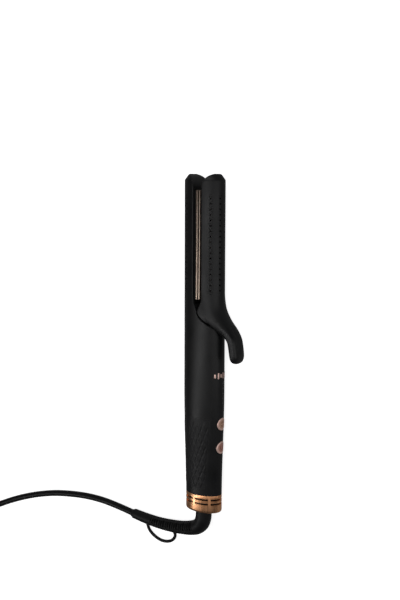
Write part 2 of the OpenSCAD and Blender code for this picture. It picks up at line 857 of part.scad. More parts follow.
handle_housing();
front_panel();
grip_sleeve();
end_cap();
intake_filter();
swivel_collar();
fan_shroud();
fan_motor();
fan_rotor();
air_duct();
control_board();
button_switches();
board_screws();
indicator_lights();
name_badge();
power_button();
mode_button();
hinge_pin();
lever_spring();
fixed_arm_shell();
fixed_arm_tip();
fixed_plate_carrier();
fixed_heat_plate();
fixed_heater();
fixed_plate_springs();
clamp_arm_shell();
clamp_arm_tip();
clamp_plate_carrier();
clamp_heat_plate();
clamp_heater();
clamp_plate_springs();
lever_pad();
swivel_spindle();
strain_relief();
hang_loop();
power_cord();
cord_coil();
cord_tie();
cord_tail();
plug_sleeve();
plug_body();
plug_pins();
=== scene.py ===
# Hair styler with heated plates, thumb lever and cool-air vents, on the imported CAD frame.
# Handle coordinates are millimetres: x towards the lever, s up from the table, h from the end cap to the tips.
import math

import bmesh
import bpy
import numpy as np
from mathutils import Matrix, Vector


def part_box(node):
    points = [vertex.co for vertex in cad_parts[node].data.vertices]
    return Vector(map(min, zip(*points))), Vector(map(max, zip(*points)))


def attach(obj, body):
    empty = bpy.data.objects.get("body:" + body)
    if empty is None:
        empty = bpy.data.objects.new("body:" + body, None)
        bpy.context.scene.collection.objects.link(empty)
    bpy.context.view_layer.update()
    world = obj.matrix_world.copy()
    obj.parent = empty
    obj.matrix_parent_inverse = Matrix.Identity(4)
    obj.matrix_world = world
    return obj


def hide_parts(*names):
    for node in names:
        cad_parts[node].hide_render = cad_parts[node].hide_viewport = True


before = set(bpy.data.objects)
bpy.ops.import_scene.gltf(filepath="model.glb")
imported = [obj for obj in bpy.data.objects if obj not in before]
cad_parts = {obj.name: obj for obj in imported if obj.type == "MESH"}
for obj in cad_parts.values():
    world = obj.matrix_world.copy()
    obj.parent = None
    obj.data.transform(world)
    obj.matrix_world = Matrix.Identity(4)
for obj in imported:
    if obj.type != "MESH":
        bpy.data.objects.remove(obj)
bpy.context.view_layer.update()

MM = 0.001

# ---------- sizes read from the frame ----------

cap_low, cap_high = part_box("end_cap")
house_low, house_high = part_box("handle_housing")
tip_low, tip_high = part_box("clamp_arm_tip")
plate_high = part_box("clamp_heat_plate")[1]
panel_low, panel_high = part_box("front_panel")
grip_low, grip_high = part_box("grip_sleeve")
clamp_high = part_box("clamp_arm_shell")[1]
coil_low, coil_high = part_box("cord_coil")
pin_low, pin_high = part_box("hinge_pin")

AXIS_X = (cap_low.x + cap_high.x) / 2
AXIS_Z = (cap_low.z + cap_high.z) / 2
BASE_Y = cap_low.y
LENGTH = (tip_high.y - BASE_Y) / MM
ARM_A = (AXIS_X - house_low.x) / MM
ARM_B = (house_high.z - house_low.z) / 2 / MM
CAP_A = (cap_high.x - cap_low.x) / 2 / MM
CAP_B = (cap_high.z - cap_low.z) / 2 / MM
CAP_H = (cap_high.y - cap_low.y) / MM
RIM_X = (tip_low.x - AXIS_X) / MM
TIP_H = (tip_low.y - BASE_Y) / MM
PLATE_HIGH_H = (plate_high.y - BASE_Y) / MM
PANEL_LOW_H = (panel_low.y - BASE_Y) / MM
PANEL_HIGH_H = (panel_high.y - BASE_Y) / MM
PANEL_HALF = (panel_high.z - panel_low.z) / 2 / MM
GRIP_LOW_H = (grip_low.y - BASE_Y) / MM
GRIP_HIGH_H = (grip_high.y - BASE_Y) / MM
LEVER_X = (clamp_high.x - AXIS_X) / MM
ROOT_H = (house_high.y - BASE_Y) / MM
HINGE_X = ((pin_low.x + pin_high.x) / 2 - AXIS_X) / MM
HINGE_H = ((pin_low.y + pin_high.y) / 2 - BASE_Y) / MM
WALL = 2.0
TAPER_LOW_H = 14.0
TAPER_HIGH_H = 112.0
BODY_STEPS = 144


def row_point(x, s, h):
    """Frame point, in metres, of handle coordinates."""
    return Vector((AXIS_X + x * MM, BASE_Y + h * MM, AXIS_Z + s * MM))


def table_point(x, y, z):
    """Frame point, in metres, of table coordinates, whose zero is below the end cap's centre."""
    return Vector((AXIS_X + x * MM, BASE_Y + y * MM, z * MM))


def link(obj):
    bpy.context.scene.collection.objects.link(obj)


# ---------- camera ----------

CAMERA_ELEVATION = 57.8
CAMERA_DISTANCE = 820.0
CAMERA_TILT = 5.0
CAMERA_SIDE = -4.4
CAMERA_ROLL = 0.21
CAMERA_SHIFT = -0.0716
CAMERA_LEVEL_H = LENGTH - 4.0
CAMERA_LENS = 54.08


def make_camera():
    elevation = math.radians(CAMERA_ELEVATION)
    tilt = math.radians(CAMERA_TILT)
    roll = math.radians(CAMERA_ROLL)
    towards = Vector((math.cos(elevation), 0, math.sin(elevation)))
    right = Vector((math.sin(elevation), 0, -math.cos(elevation)))
    up = Vector((0, 1, 0)) * math.cos(tilt) - towards * math.sin(tilt)
    back = towards * math.cos(tilt) + Vector((0, 1, 0)) * math.sin(tilt)
    turned_right = right * math.cos(roll) + up * math.sin(roll)
    turned_up = up * math.cos(roll) - right * math.sin(roll)
    data = bpy.data.cameras.new("camera")
    data.lens = CAMERA_LENS
    data.sensor_width = 36
    data.shift_y = CAMERA_SHIFT
    data.clip_start = 0.01
    data.clip_end = 20
    camera = bpy.data.objects.new("camera", data)
    aim = row_point(0, 0, CAMERA_LEVEL_H)
    place = aim + (towards * CAMERA_DISTANCE + right * CAMERA_SIDE) * MM
    axes = Matrix((turned_right, turned_up, back)).transposed().to_4x4()
    camera.matrix_world = Matrix.Translation(place) @ axes
    link(camera)
    bpy.context.scene.camera = camera


make_camera()

# ---------- materials ----------


BODY_SPECULAR = 0.26


class Shader:
    """One material's node tree, built a node at a time."""

    def __init__(self, name):
        self.material = bpy.data.materials.new(name)
        self.material.use_nodes = True
        self.tree = self.material.node_tree
        self.surface = self.tree.nodes["Principled BSDF"]

    def node(self, kind, **inputs):
        made = self.tree.nodes.new(kind)
        for key, value in inputs.items():
            socket = key.replace("_", " ")
            if socket in made.inputs:
                if isinstance(value, bpy.types.NodeSocket):
                    self.tree.links.new(value, made.inputs[socket])
                else:
                    made.inputs[socket].default_value = value
            else:
                setattr(made, key, value)
        return made

    def set(self, **inputs):
        for key, value in inputs.items():
            socket = self.surface.inputs[key.replace("_", " ")]
            if isinstance(value, bpy.types.NodeSocket):
                self.tree.links.new(value, socket)
            else:
                socket.default_value = value

    def place(self, scale=(1, 1, 1)):
        coordinates = self.node("ShaderNodeTexCoord")
        mapping = self.node("ShaderNodeMapping", Vector=coordinates.outputs["Object"])
        mapping.inputs["Scale"].default_value = scale
        return mapping.outputs["Vector"]

    def noise(self, scale, detail=3.0, roughness=0.5, stretch=(1, 1, 1)):
        made = self.node("ShaderNodeTexNoise", Vector=self.place(stretch), Scale=scale,
                         Detail=detail, Roughness=roughness)
        return made.outputs["Fac"]

    def remap(self, value, low, high, from_low=0.3, from_high=0.7):
        made = self.node("ShaderNodeMapRange", Value=value)
        made.inputs["From Min"].default_value = from_low
        made.inputs["From Max"].default_value = from_high
        made.inputs["To Min"].default_value = low
        made.inputs["To Max"].default_value = high
        return made.outputs["Result"]

    def colours(self, value, first, second, from_low=0.3, from_high=0.7):
        ramp = self.node("ShaderNodeValToRGB", Fac=self.remap(value, 0, 1, from_low, from_high))
        ramp.color_ramp.elements[0].color = (*first, 1)
        ramp.color_ramp.elements[1].color = (*second, 1)
        return ramp.outputs["Color"]

    def bump(self, height, distance, strength=1.0, normal=None):
        made = self.node("ShaderNodeBump", Height=height, Strength=strength, Distance=distance)
        if normal is not None:
            self.tree.links.new(normal, made.inputs["Normal"])
        return made.outputs["Normal"]


def plastic(name, first, second, rough_low, rough_high, grain_scale, grain_depth, coat=0.0):
    """Moulded plastic: a fine grain, slow patches of wear in its roughness and a faint change of tone."""
    shader = Shader(name)
    patches = shader.noise(45, 4, 0.6)
    grain = shader.noise(grain_scale, 2, 0.6)
    speck = shader.noise(grain_scale * 0.23, 3, 0.65)
    shader.set(
        Base_Color=shader.colours(patches, first, second),
        Roughness=shader.remap(patches, rough_low, rough_high),
        Normal=shader.bump(grain, grain_depth, 0.5, shader.bump(speck, grain_depth * 2, 0.3)),
        Specular_IOR_Level=BODY_SPECULAR,
        Coat_Weight=coat,
        Coat_Roughness=0.3,
    )
    return shader.material


def brushed_metal(name, first, second, rough_low, rough_high, stretch, depth, metallic=1.0):
    """Metal brushed along one direction: stretch is small along the brush lines."""
    shader = Shader(name)
    lines = shader.noise(900, 3, 0.7, stretch)
    patches = shader.noise(60, 3, 0.5)
    shader.set(
        Base_Color=shader.colours(patches, first, second),
        Metallic=metallic,
        Roughness=shader.remap(lines, rough_low, rough_high),
        Normal=shader.bump(lines, depth, 0.4),
    )
    return shader.material


def rubber(name, colour, rough, grain_scale=1800, depth=0.00004):
    shader = Shader(name)
    patches = shader.noise(80, 4, 0.6)
    grain = shader.noise(grain_scale, 3, 0.6)
    lighter = tuple(c * 1.5 for c in colour)
    shader.set(
        Base_Color=shader.colours(patches, colour, lighter),
        Roughness=shader.remap(patches, rough, rough + 0.14),
        Normal=shader.bump(grain, depth, 0.5),
        Specular_IOR_Level=BODY_SPECULAR,
    )
    return shader.material


def woven_strap(name):
    shader = Shader(name)
    weave = shader.node("ShaderNodeTexChecker", Vector=shader.place(), Scale=900)
    fuzz = shader.noise(2500, 3, 0.7)
    shader.set(
        Base_Color=shader.colours(fuzz, (0.012, 0.012, 0.013), (0.05, 0.05, 0.052)),
        Roughness=0.85,
        Sheen_Weight=0.3,
        Normal=shader.bump(weave.outputs["Fac"], 0.0002, 0.6, shader.bump(fuzz, 0.0001, 0.5)),
    )
    return shader.material


def circuit_green(name):
    shader = Shader(name)
    tracks = shader.node("ShaderNodeTexBrick", Vector=shader.place(), Scale=260)
    tracks.inputs["Color1"].default_value = (0.01, 0.12, 0.05, 1)
    tracks.inputs["Color2"].default_value = (0.015, 0.16, 0.07, 1)
    tracks.inputs["Mortar"].default_value = (0.03, 0.28, 0.12, 1)
    shader.set(Base_Color=tracks.outputs["Color"], Roughness=0.35,
               Normal=shader.bump(tracks.outputs["Fac"], 0.0001, 0.5))
    return shader.material


BLACK = plastic("housing_black", (0.0055, 0.0055, 0.006), (0.0085, 0.0085, 0.009), 0.34, 0.46, 3200, 0.00003)
PANEL = plastic("panel_black", (0.0055, 0.0055, 0.006), (0.008, 0.008, 0.0085), 0.31, 0.42, 3600, 0.00002)
GRIP = plastic("grip_black", (0.006, 0.006, 0.0065), (0.01, 0.01, 0.011), 0.4, 0.52, 2600, 0.00005)
PAD = rubber("pad_black", (0.006, 0.006, 0.0065), 0.45)
CARRIER = plastic("carrier_black", (0.004, 0.004, 0.004), (0.006, 0.006, 0.006), 0.55, 0.7, 2200, 0.00005)
PLATE = brushed_metal("plate_coating", (0.26, 0.2, 0.16), (0.33, 0.26, 0.21),
                      0.22, 0.34, (1, 0.03, 1), 0.00001)
COPPER = brushed_metal("copper_cap", (0.86, 0.41, 0.2), (0.94, 0.5, 0.27), 0.25, 0.38, (1, 0.05, 1), 0.000006)
ROSE = brushed_metal("rose_gold", (0.82, 0.54, 0.46), (0.9, 0.62, 0.54), 0.32, 0.44, (0.05, 1, 1),
                     0.000008, 0.45)
KEY_RED = brushed_metal("key_red_gold", (0.5, 0.24, 0.19), (0.6, 0.3, 0.24),
                        0.3, 0.42, (0.05, 1, 1), 0.000008, 0.5)
KEY_TAN = brushed_metal("key_tan_gold", (0.64, 0.38, 0.27), (0.74, 0.46, 0.33),
                        0.3, 0.42, (0.05, 1, 1), 0.000008, 0.5)
STEEL = brushed_metal("bright_steel", (0.5, 0.5, 0.52), (0.65, 0.65, 0.67), 0.2, 0.35, (1, 0.05, 1), 0.00002)
NICKEL = brushed_metal("pin_nickel", (0.6, 0.58, 0.54), (0.72, 0.7, 0.66), 0.12, 0.25, (0.1, 1, 1), 0.00001)
MESH = brushed_metal("filter_mesh", (0.03, 0.03, 0.03), (0.05, 0.05, 0.05), 0.45, 0.6, (1, 1, 1), 0.00004)
RELIEF = rubber("relief_black", (0.006, 0.006, 0.0065), 0.4)
CORD = rubber("cord_black", (0.005, 0.005, 0.0055), 0.33, 2400, 0.00003)
NYLON = plastic("nylon_natural", (0.55, 0.54, 0.5), (0.68, 0.67, 0.62), 0.45, 0.6, 1800, 0.00004)
DARK_NYLON = plastic("dark_nylon", (0.015, 0.015, 0.016), (0.025, 0.025, 0.026), 0.45, 0.6, 1800, 0.00004)
CERAMIC = plastic("heater_ceramic", (0.7, 0.67, 0.6), (0.82, 0.79, 0.72), 0.5, 0.7, 1500, 0.00006)
SILICONE = rubber("silicone_red", (0.3, 0.07, 0.05), 0.45)
MARK = plastic("key_mark", (0.2, 0.07, 0.05), (0.28, 0.11, 0.08), 0.35, 0.5, 3000, 0.00001)
SMOKED = plastic("light_pipe", (0.05, 0.05, 0.052), (0.08, 0.08, 0.082), 0.15, 0.25, 3000, 0.00001, 0.5)
STRAP = woven_strap("tie_strap")
BOARD = circuit_green("circuit_green")


def finish_node(name, material):
    """Gives a carried-over CAD node its material."""
    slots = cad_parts[name].data.materials
    slots.clear()
    slots.append(material)


for node_name, node_material in {
    "intake_filter": MESH, "swivel_collar": DARK_NYLON, "fan_shroud": DARK_NYLON, "fan_motor": STEEL,
    "fan_rotor": DARK_NYLON, "air_duct": NYLON, "control_board": BOARD, "button_switches": DARK_NYLON,
    "board_screws": STEEL, "hinge_pin": STEEL, "lever_spring": STEEL, "fixed_plate_carrier": CARRIER,
    "clamp_plate_carrier": CARRIER, "fixed_heater": CERAMIC, "clamp_heater": CERAMIC,
    "fixed_plate_springs": SILICONE, "clamp_plate_springs": SILICONE, "swivel_spindle": DARK_NYLON,
}.items():
    finish_node(node_name, node_material)

# ---------- mesh helpers ----------


def new_object(name, points, faces, material, sharp=35.0):
    mesh = bpy.data.meshes.new(name)
    mesh.from_pydata([tuple(p) for p in points], [], faces)
    obj = bpy.data.objects.new(name, mesh)
    link(obj)
    mesh.materials.append(material)
    tidy(obj, sharp)
    return obj


def tidy(obj, sharp=35.0):
    """Outward normals, smooth faces and sharp edges above an angle in degrees."""
    mesh = obj.data
    shape = bmesh.new()
    shape.from_mesh(mesh)
    bmesh.ops.remove_doubles(shape, verts=shape.verts, dist=1e-7)
    bmesh.ops.recalc_face_normals(shape, faces=shape.faces)
    shape.to_mesh(mesh)
    shape.free()
    mesh.polygons.foreach_set("use_smooth", [True] * len(mesh.polygons))
    mesh.set_sharp_from_angle(angle=math.radians(sharp))


def grid_faces(rows, columns, closed_columns=True, first=0):
    faces = []
    for r in range(rows - 1):
        for c in range(columns if closed_columns else columns - 1):
            a = first + r * columns + c
            b = first + r * columns + (c + 1) % columns
            faces.append((a, b, b + columns, a + columns))
    return faces


def sheet_faces(rows, columns):
    """Faces of a thick sheet: a front grid, a back grid and the rim that joins them."""
    n = rows * columns
    back = [tuple(reversed(f)) for f in grid_faces(rows, columns, False, n)]
    rim = [c for c in range(columns)]
    rim += [r * columns + columns - 1 for r in range(1, rows)]
    rim += [(rows - 1) * columns + c for c in range(columns - 2, -1, -1)]
    rim += [r * columns for r in range(rows - 2, 0, -1)]
    ahead = rim[1:] + rim[:1]
    return grid_faces(rows, columns, False) + back + [(a, b, n + b, n + a) for a, b in zip(rim, ahead)]


def loft(name, rings, material, sharp=35.0):
    """Closed solid through rings of equal point counts."""
    columns = len(rings[0])
    points = [p for ring in rings for p in ring]
    faces = grid_faces(len(rings), columns)
    faces.append(tuple(range(columns)))
    faces.append(tuple(len(points) - columns + i for i in range(columns)))
    return new_object(name, points, faces, material, sharp)


def applied(obj):
    """Replaces an object's mesh by the result of its modifiers."""
    graph = bpy.context.evaluated_depsgraph_get()
    made = bpy.data.meshes.new_from_object(obj.evaluated_get(graph))
    old = obj.data
    obj.modifiers.clear()
    obj.data = made
    bpy.data.meshes.remove(old)
    return obj


def combine(obj, other, how="DIFFERENCE", keep=False):
    change = obj.modifiers.new("combine", "BOOLEAN")
    change.operation = how
    change.solver = "MANIFOLD"
    change.object = other
    applied(obj)
    if not keep:
        bpy.data.objects.remove(other)
    return obj


def soften(obj, width, segments=2, angle=40.0):
    """Rounds the sharp edges by a small width in millimetres."""
    change = obj.modifiers.new("soften", "BEVEL")
    change.width = width * MM
    change.segments = segments
    change.limit_method = "ANGLE"
    change.angle_limit = math.radians(angle)
    change.harden_normals = False
    return applied(obj)


def side_prism(name, outline, s_low, s_high, material=BLACK):
    """Slab with a side outline of (x, h) points between two s values."""
    points = [row_point(x, s, h) for s in (s_low, s_high) for x, h in outline]
    n = len(outline)
    faces = [tuple(range(n)), tuple(range(2 * n - 1, n - 1, -1))]
    faces += [(i, (i + 1) % n, n + (i + 1) % n, n + i) for i in range(n)]
    return new_object(name, points, faces, material)


def brick(name, low, high, material=BLACK):
    """Block between two corners in handle coordinates."""
    (x0, s0, h0), (x1, s1, h1) = low, high
    return side_prism(name, [(x0, h0), (x1, h0), (x1, h1), (x0, h1)], s0, s1, material)


def round_angles(steps):
    """The angles of one full turn in equal steps."""
    return [2 * math.pi * i / steps for i in range(steps)]


def disc_outline(x, h, radius):
    return [(x + radius * math.cos(t), h + radius * math.sin(t)) for t in round_angles(32)]


def front_hole(h, radius, steps):
    """Cylinder along x that cuts a round hole on the panel's middle line."""
    rings = [[row_point(x, radius * math.cos(t), h + radius * math.sin(t)) for t in round_angles(steps)]
             for x in (5, FAR)]
    return loft("hole", rings, BLACK)


def join(name, parts, material):
    """One object from several."""
    shape = bmesh.new()
    for part in parts:
        shape.from_mesh(part.data)
        bpy.data.objects.remove(part)
    mesh = bpy.data.meshes.new(name)
    shape.to_mesh(mesh)
    shape.free()
    mesh.materials.append(material)
    obj = bpy.data.objects.new(name, mesh)
    link(obj)
    return obj


def curve_through(points, spacing):
    """Points a spacing apart along a smooth curve through given points."""
    given = [np.array(p, float) for p in points]
    padded = [2 * given[0] - given[1], *given, 2 * given[-1] - given[-2]]
    dense = []
    for a, b, c, d in zip(padded, padded[1:], padded[2:], padded[3:]):
        for t in np.linspace(0, 1, 24, endpoint=False):
            dense.append(0.5 * (2 * b + (c - a) * t + (2 * a - 5 * b + 4 * c - d) * t**2
                                + (3 * b - a - 3 * c + d) * t**3))
    dense.append(given[-1])
    dense = np.array(dense)
    along = np.concatenate([[0], np.cumsum(np.linalg.norm(np.diff(dense, axis=0), axis=1))])
    count = max(2, int(round(along[-1] / spacing)) + 1)
    marks = np.linspace(0, along[-1], count)
    return np.stack([np.interp(marks, along, dense[:, i]) for i in range(dense.shape[1])], axis=1)


def sweep_rings(path, radius_at, steps):
    """Rings round a path of metre points: radius_at(share, angle) is in mm, angle 0 is sideways, 90 up."""
    rings = []
    last = len(path) - 1
    for i, point in enumerate(path):
        tangent = Vector(path[min(i + 1, last)] - path[max(i - 1, 0)]).normalized()
        side = Vector((0, 0, 1)).cross(tangent).normalized()
        up = tangent.cross(side)
        ring = []
        for angle in round_angles(steps):
            r = radius_at(i / last, angle) * MM
            ring.append(Vector(point) + side * (r * math.cos(angle)) + up * (r * math.sin(angle)))
        rings.append(ring)
    return rings


def ease(t):
    t = max(0.0, min(1.0, t))
    return t * t * (3 - 2 * t)


def oval_at(h, inset=0.0):
    """Half depth and half width of the tool's section at a height."""
    t = ease((h - TAPER_LOW_H) / (TAPER_HIGH_H - TAPER_LOW_H))
    return CAP_A + (ARM_A - CAP_A) * t - inset, CAP_B + (ARM_B - CAP_B) * t - inset


def oval_ring(h, inset=0.0):
    a, b = oval_at(h, inset)
    return [row_point(a * math.cos(t), b * math.sin(t), h) for t in round_angles(BODY_STEPS)]


# ---------- the cord ----------

CORD_D = 6.3
CORD_R = CORD_D / 2
COIL_X = ((coil_low.x + coil_high.x) / 2 - AXIS_X) / MM
COIL_Y = ((coil_low.y + coil_high.y) / 2 - BASE_Y) / MM
COIL_LIFT = 0.8
COIL_OUTER_R = 50.5
COIL_INNER_R = 24.0
COIL_IN_ANGLE = -65.2
COIL_OUT_ANGLE = 165.0
COIL_TURNS = 8
COIL_STEPS = 72
COIL_POINTS = 12
CORD_SPACING = 3.0

RELIEF_ROUTE = [
    (0, 1.9, 14.25), (0, -3.6, 14.25), (-0.5, -9.4, 14.25), (-2.9, -15, 14), (-7.8, -19.4, 13.6),
    (-15.6, -22.4, 12.8), (-26.4, -24.8, 11.4), (-40, -26.6, 9.6),
    (-55, -27.5, 7.9), (-72, -26.9, 6.4), (-89, -25.4, 5),
]
CORD_ROUTE = [
    (-89, -25.4, 5), (-108, -23, 3.6), (-129, -20.8, CORD_R), (-150, -20.6, CORD_R), (-171, -22.4, CORD_R),
    (-193, -25.8, CORD_R), (-215, -31.2, CORD_R), (-236, -38, CORD_R), (-255, -45.4, CORD_R),
    (-272, -53, CORD_R), (-289, -60.8, CORD_R), (-305.5, -68.4, CORD_R + 0.2),
]
TAIL_ROUTE = [
    (-388.4, 5.6, 8.4), (-382, 17.4, 6), (-374, 29.5, 4.2), (-365.4, 40.8, 4.2), (-357.4, 50.8, 5.8),
    (-350, 60, 7.2),
]


def coil_points():
    """The coil's turns: inwards on the table, then outwards on top of them."""
    turns = COIL_TURNS + (COIL_IN_ANGLE - COIL_OUT_ANGLE + 360) / 360
    half = turns / 2
    count = int(turns * COIL_STEPS)
    made = []
    for i in range(count + 1):
        n = turns * i / count
        inward = min(n, turns - n)
        radius = COIL_INNER_R + (COIL_OUTER_R - COIL_INNER_R) * (1 - inward / half)
        climb = ease((n - half + 0.25) / 0.5)
        angle = math.radians(COIL_IN_ANGLE - 360 * n)
        made.append((COIL_X + radius * math.cos(angle), COIL_Y + radius * math.sin(angle),
                     COIL_LIFT + CORD_R + CORD_D * climb))
    return made


def make_cord():
    turns = coil_points()[::COIL_STEPS // COIL_POINTS]
    route = curve_through(CORD_ROUTE + turns + TAIL_ROUTE, CORD_SPACING)
    data = bpy.data.curves.new("mains_cord", "CURVE")
    data.dimensions = "3D"
    data.bevel_depth = CORD_R * MM
    data.bevel_resolution = 5
    data.use_fill_caps = True
    spline = data.splines.new("POLY")
    spline.points.add(len(route) - 1)
    for point, place in zip(spline.points, route):
        point.co = (*table_point(*place), 1)
    cord = bpy.data.objects.new("mains_cord", data)
    link(cord)
    data.materials.append(CORD)
    spline.use_smooth = True
    length = float(np.linalg.norm(np.diff(route, axis=0), axis=1).sum())
    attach(cord, "cord_set")
    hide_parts("power_cord", "cord_coil", "cord_tail")
    return cord, length


cord, cord_length = make_cord()

# ---------- handle and arms ----------

PARTING_LINE = [(ARM_A, -4.1), (ARM_A - 2.2, -0.5), (ARM_A - 5.2, 2.1), (ARM_A - 9.4, 4.5),
                (ARM_A - 13.6, 7.5), (2.4, 11.1), (0.4, 15.1)]
OPEN_ANGLE = 14.0
PARTING_DX = -0.5
PARTING_DH = -1.2
FAR = 60.0


def body_rings(low, high, inset=0.0, spacing=4.0):
    count = max(2, int((high - low) / spacing) + 1)
    return [oval_ring(h, inset) for h in np.linspace(low, high, count)]


# Height and inset of the chamfered shoulder at the tips
TIP_ROWS = [(LENGTH - 6.4, 0.0), (LENGTH - 5.7, 0.08), (LENGTH - 5.1, 0.32), (LENGTH - 1.5, 2.95),
            (LENGTH - 0.85, 3.5), (LENGTH - 0.3, 4.2), (LENGTH, 5.0)]


def arm_form(name, low):
    """The tool's whole outer form from one height to the chamfered tips."""
    return loft(name, body_rings(low, LENGTH - 7) + [oval_ring(h, inset) for h, inset in TIP_ROWS], BLACK)


def turned(outline, angle):
    """Side outline turned about the hinge."""
    c, s = math.cos(math.radians(angle)), math.sin(math.radians(angle))
    made = []
    for x, h in outline:
        dx, dh = x - HINGE_X, h - HINGE_H
        made.append((HINGE_X + dx * c + dh * s, HINGE_H + dh * c - dx * s))
    return made


def side_curve(points, spacing):
    return [tuple(p) for p in curve_through(points, spacing)]


def handle_parting():
    """The parting line set back by the gap between the handle and the clamp."""
    return [(x + PARTING_DX, HINGE_H + h + PARTING_DH) for x, h in PARTING_LINE]


def clamp_outline():
    """Side outline of everything on the clamp's side of the parting line, gap included."""
    line = side_curve(handle_parting(), 1.2)
    return [(FAR, HINGE_H - 7.5), (FAR, LENGTH + 20), (line[-1][0], LENGTH + 20), *reversed(line),
            (ARM_A + 7 + PARTING_DX, HINGE_H - 6.4 + PARTING_DH)]


def tip_slant():
    """The slanted face at an arm's tip, from its rim upwards."""
    return side_curve([(RIM_X, LENGTH - 13), (RIM_X, LENGTH - 11), (RIM_X + 1.4, LENGTH - 6.5),
                       (RIM_X + 4.2, LENGTH - 2.4), (RIM_X + 8.4, LENGTH + 0.2)], 0.8)


def clamp_rim():
    """The clamp's edge seen from the side, from the lever up the parting line and the rim to the tip."""
    funnel = [(1.4, HINGE_H + 18.4), (2.9, HINGE_H + 21.6), (3.9, HINGE_H + 25.2), (RIM_X, HINGE_H + 30)]
    low = [(x, HINGE_H + h) for x, h in PARTING_LINE]
    return side_curve(low + funnel, 1.2) + tip_slant()


def handle_rim():
    """The handle's edge seen from the side, from the parting line up the fixed arm's rim to its tip."""
    funnel = [(-1.4, HINGE_H + 18.6), (-2.9, HINGE_H + 21.8), (-3.9, HINGE_H + 25.4), (-RIM_X, HINGE_H + 30)]
    return side_curve(handle_parting() + funnel, 1.2) + [(-x, h) for x, h in tip_slant()]


RIM_ROUND = 1.3
PARTING_ROUND = 0.7


def rim_radius(x, h):
    """Rounding of the long edges: large along the plates, small along the parting line and at the tips."""
    arms = ease((h - HINGE_H - 17) / 10) * (1 - ease((h - LENGTH + 12) / 5))
    return PARTING_ROUND + (RIM_ROUND - PARTING_ROUND) * arms


def edge_cutter(line, side, facing, radius_at, start_x):
    """Bar that rounds the edge between an arm's surface and its cut face. The line is seen from the side."""
    points = [(x, h) for x, h in line if x < start_x]
    rings = []
    last = len(points) - 1
    for i, (x, h) in enumerate(points):
        a, b = oval_at(h)
        if h > LENGTH - 6:
            inset = float(np.interp(h, [r[0] for r in TIP_ROWS], [r[1] for r in TIP_ROWS]))
            a, b = a - inset, b - inset
        s = b * math.sqrt(max(0.0004, 1 - (x / a) ** 2))
        x0, h0 = points[max(i - 1, 0)]
        x1, h1 = points[min(i + 1, last)]
        tangent = Vector((x1 - x0, 0, h1 - h0)).normalized()
        cut = Vector((tangent.z, 0, -tangent.x)) * facing
        skin = Vector((x / a**2, side * s / b**2, 0)).normalized()
        skin = (skin - cut * skin.dot(cut)).normalized()
        spot = Vector((x, side * s, h))
        r = radius_at(x, h)
        centre = spot - cut * r - skin * r
        ring = [centre + (cut * math.cos(t) + skin * math.sin(t)) * r for t in np.linspace(0, math.pi / 2, 9)]
        ring += [spot - cut * r + skin, spot + cut + skin, spot + cut - skin * r]
        rings.append([row_point(*p) for p in ring])
    return loft("edge", rings, BLACK)


CHANNEL_DEPTH = 0.4
CHANNEL_HALF = 1.35
VENT_ANGLES = (-50, -18, 18, 50)
VENT_COUNT = 18
VENT_PITCH = 4.88
VENT_SIZE = 1.5
VENT_SQUARE = 1.32
VENT_TOP_H = PLATE_HIGH_H - 7.5


def vent_columns():
    """Each vent column: the arm's side, its place on the skin, and its outward and sideways directions."""
    for side in (1, -1):
        for degrees in VENT_ANGLES:
            angle = math.radians(degrees)
            out = Vector((math.cos(angle) / ARM_A, math.sin(angle) / ARM_B)).normalized()
            yield side, ARM_A * math.cos(angle), ARM_B * math.sin(angle), out, Vector((-out.y, out.x))


def vent_blocks():
    """Blocks that cut the vent holes, four columns on each arm."""
    parts = []
    for side, x, s, out, sideways in vent_columns():
        across = sideways * VENT_SIZE / 2
        for i in range(VENT_COUNT):
            h = VENT_TOP_H - i * VENT_PITCH
            ring = []
            for k in range(16):
                turn = 2 * math.pi * (k + 0.5) / 16
                wide = max(-1, min(1, VENT_SQUARE * math.cos(turn)))
                tall = max(-1, min(1, VENT_SQUARE * math.sin(turn)))
                ring.append((across * wide, h + tall * VENT_SIZE / 2))
            rings = [[row_point(side * (x + out.x * depth + a.x), s + out.y * depth + a.y, hh)
                      for a, hh in ring] for depth in (-4, 4)]
            parts.append(loft("vent", rings, BLACK))
    return join("vents", parts, BLACK)


def vent_channels():
    """Shallow channels that the vent columns sit in."""
    parts = []
    high, low = VENT_TOP_H + 2.2, VENT_TOP_H - (VENT_COUNT - 1) * VENT_PITCH - 2.2
    for side, x, s, out, across in vent_columns():
        rings = []
        for depth, half in ((-CHANNEL_DEPTH, CHANNEL_HALF - 0.15), (2, CHANNEL_HALF + 0.6)):
            ring = []
            for k in range(20):
                t = math.pi * k / 19
                ring.append((half * math.cos(t), high + half * math.sin(t)))
            for k in range(20):
                t = math.pi * (1 + k / 19)
                ring.append((half * math.cos(t), low + half * math.sin(t)))
            rings.append([row_point(side * (x + out.x * depth + across.x * w),
                                    s + out.y * depth + across.y * w, h)
                          for w, h in ring])
        parts.append(loft("channel", rings, BLACK))
    return join("channels", parts, BLACK)


vents = vent_blocks()
channels = vent_channels()


def inner_form(low, high):
    return loft("inner", body_rings(low, high, WALL), BLACK)


SEAM = 0.06
GRIP_THICK = 0.8
LUG_OUT = 3.2
LUG_IN = 1.5
LUG_R = 2.6
EAR_R = 2.9
EAR_OUT = 5.1
LUG_ROOM_R = 3.4
PIN_HOLE_R = 1.55


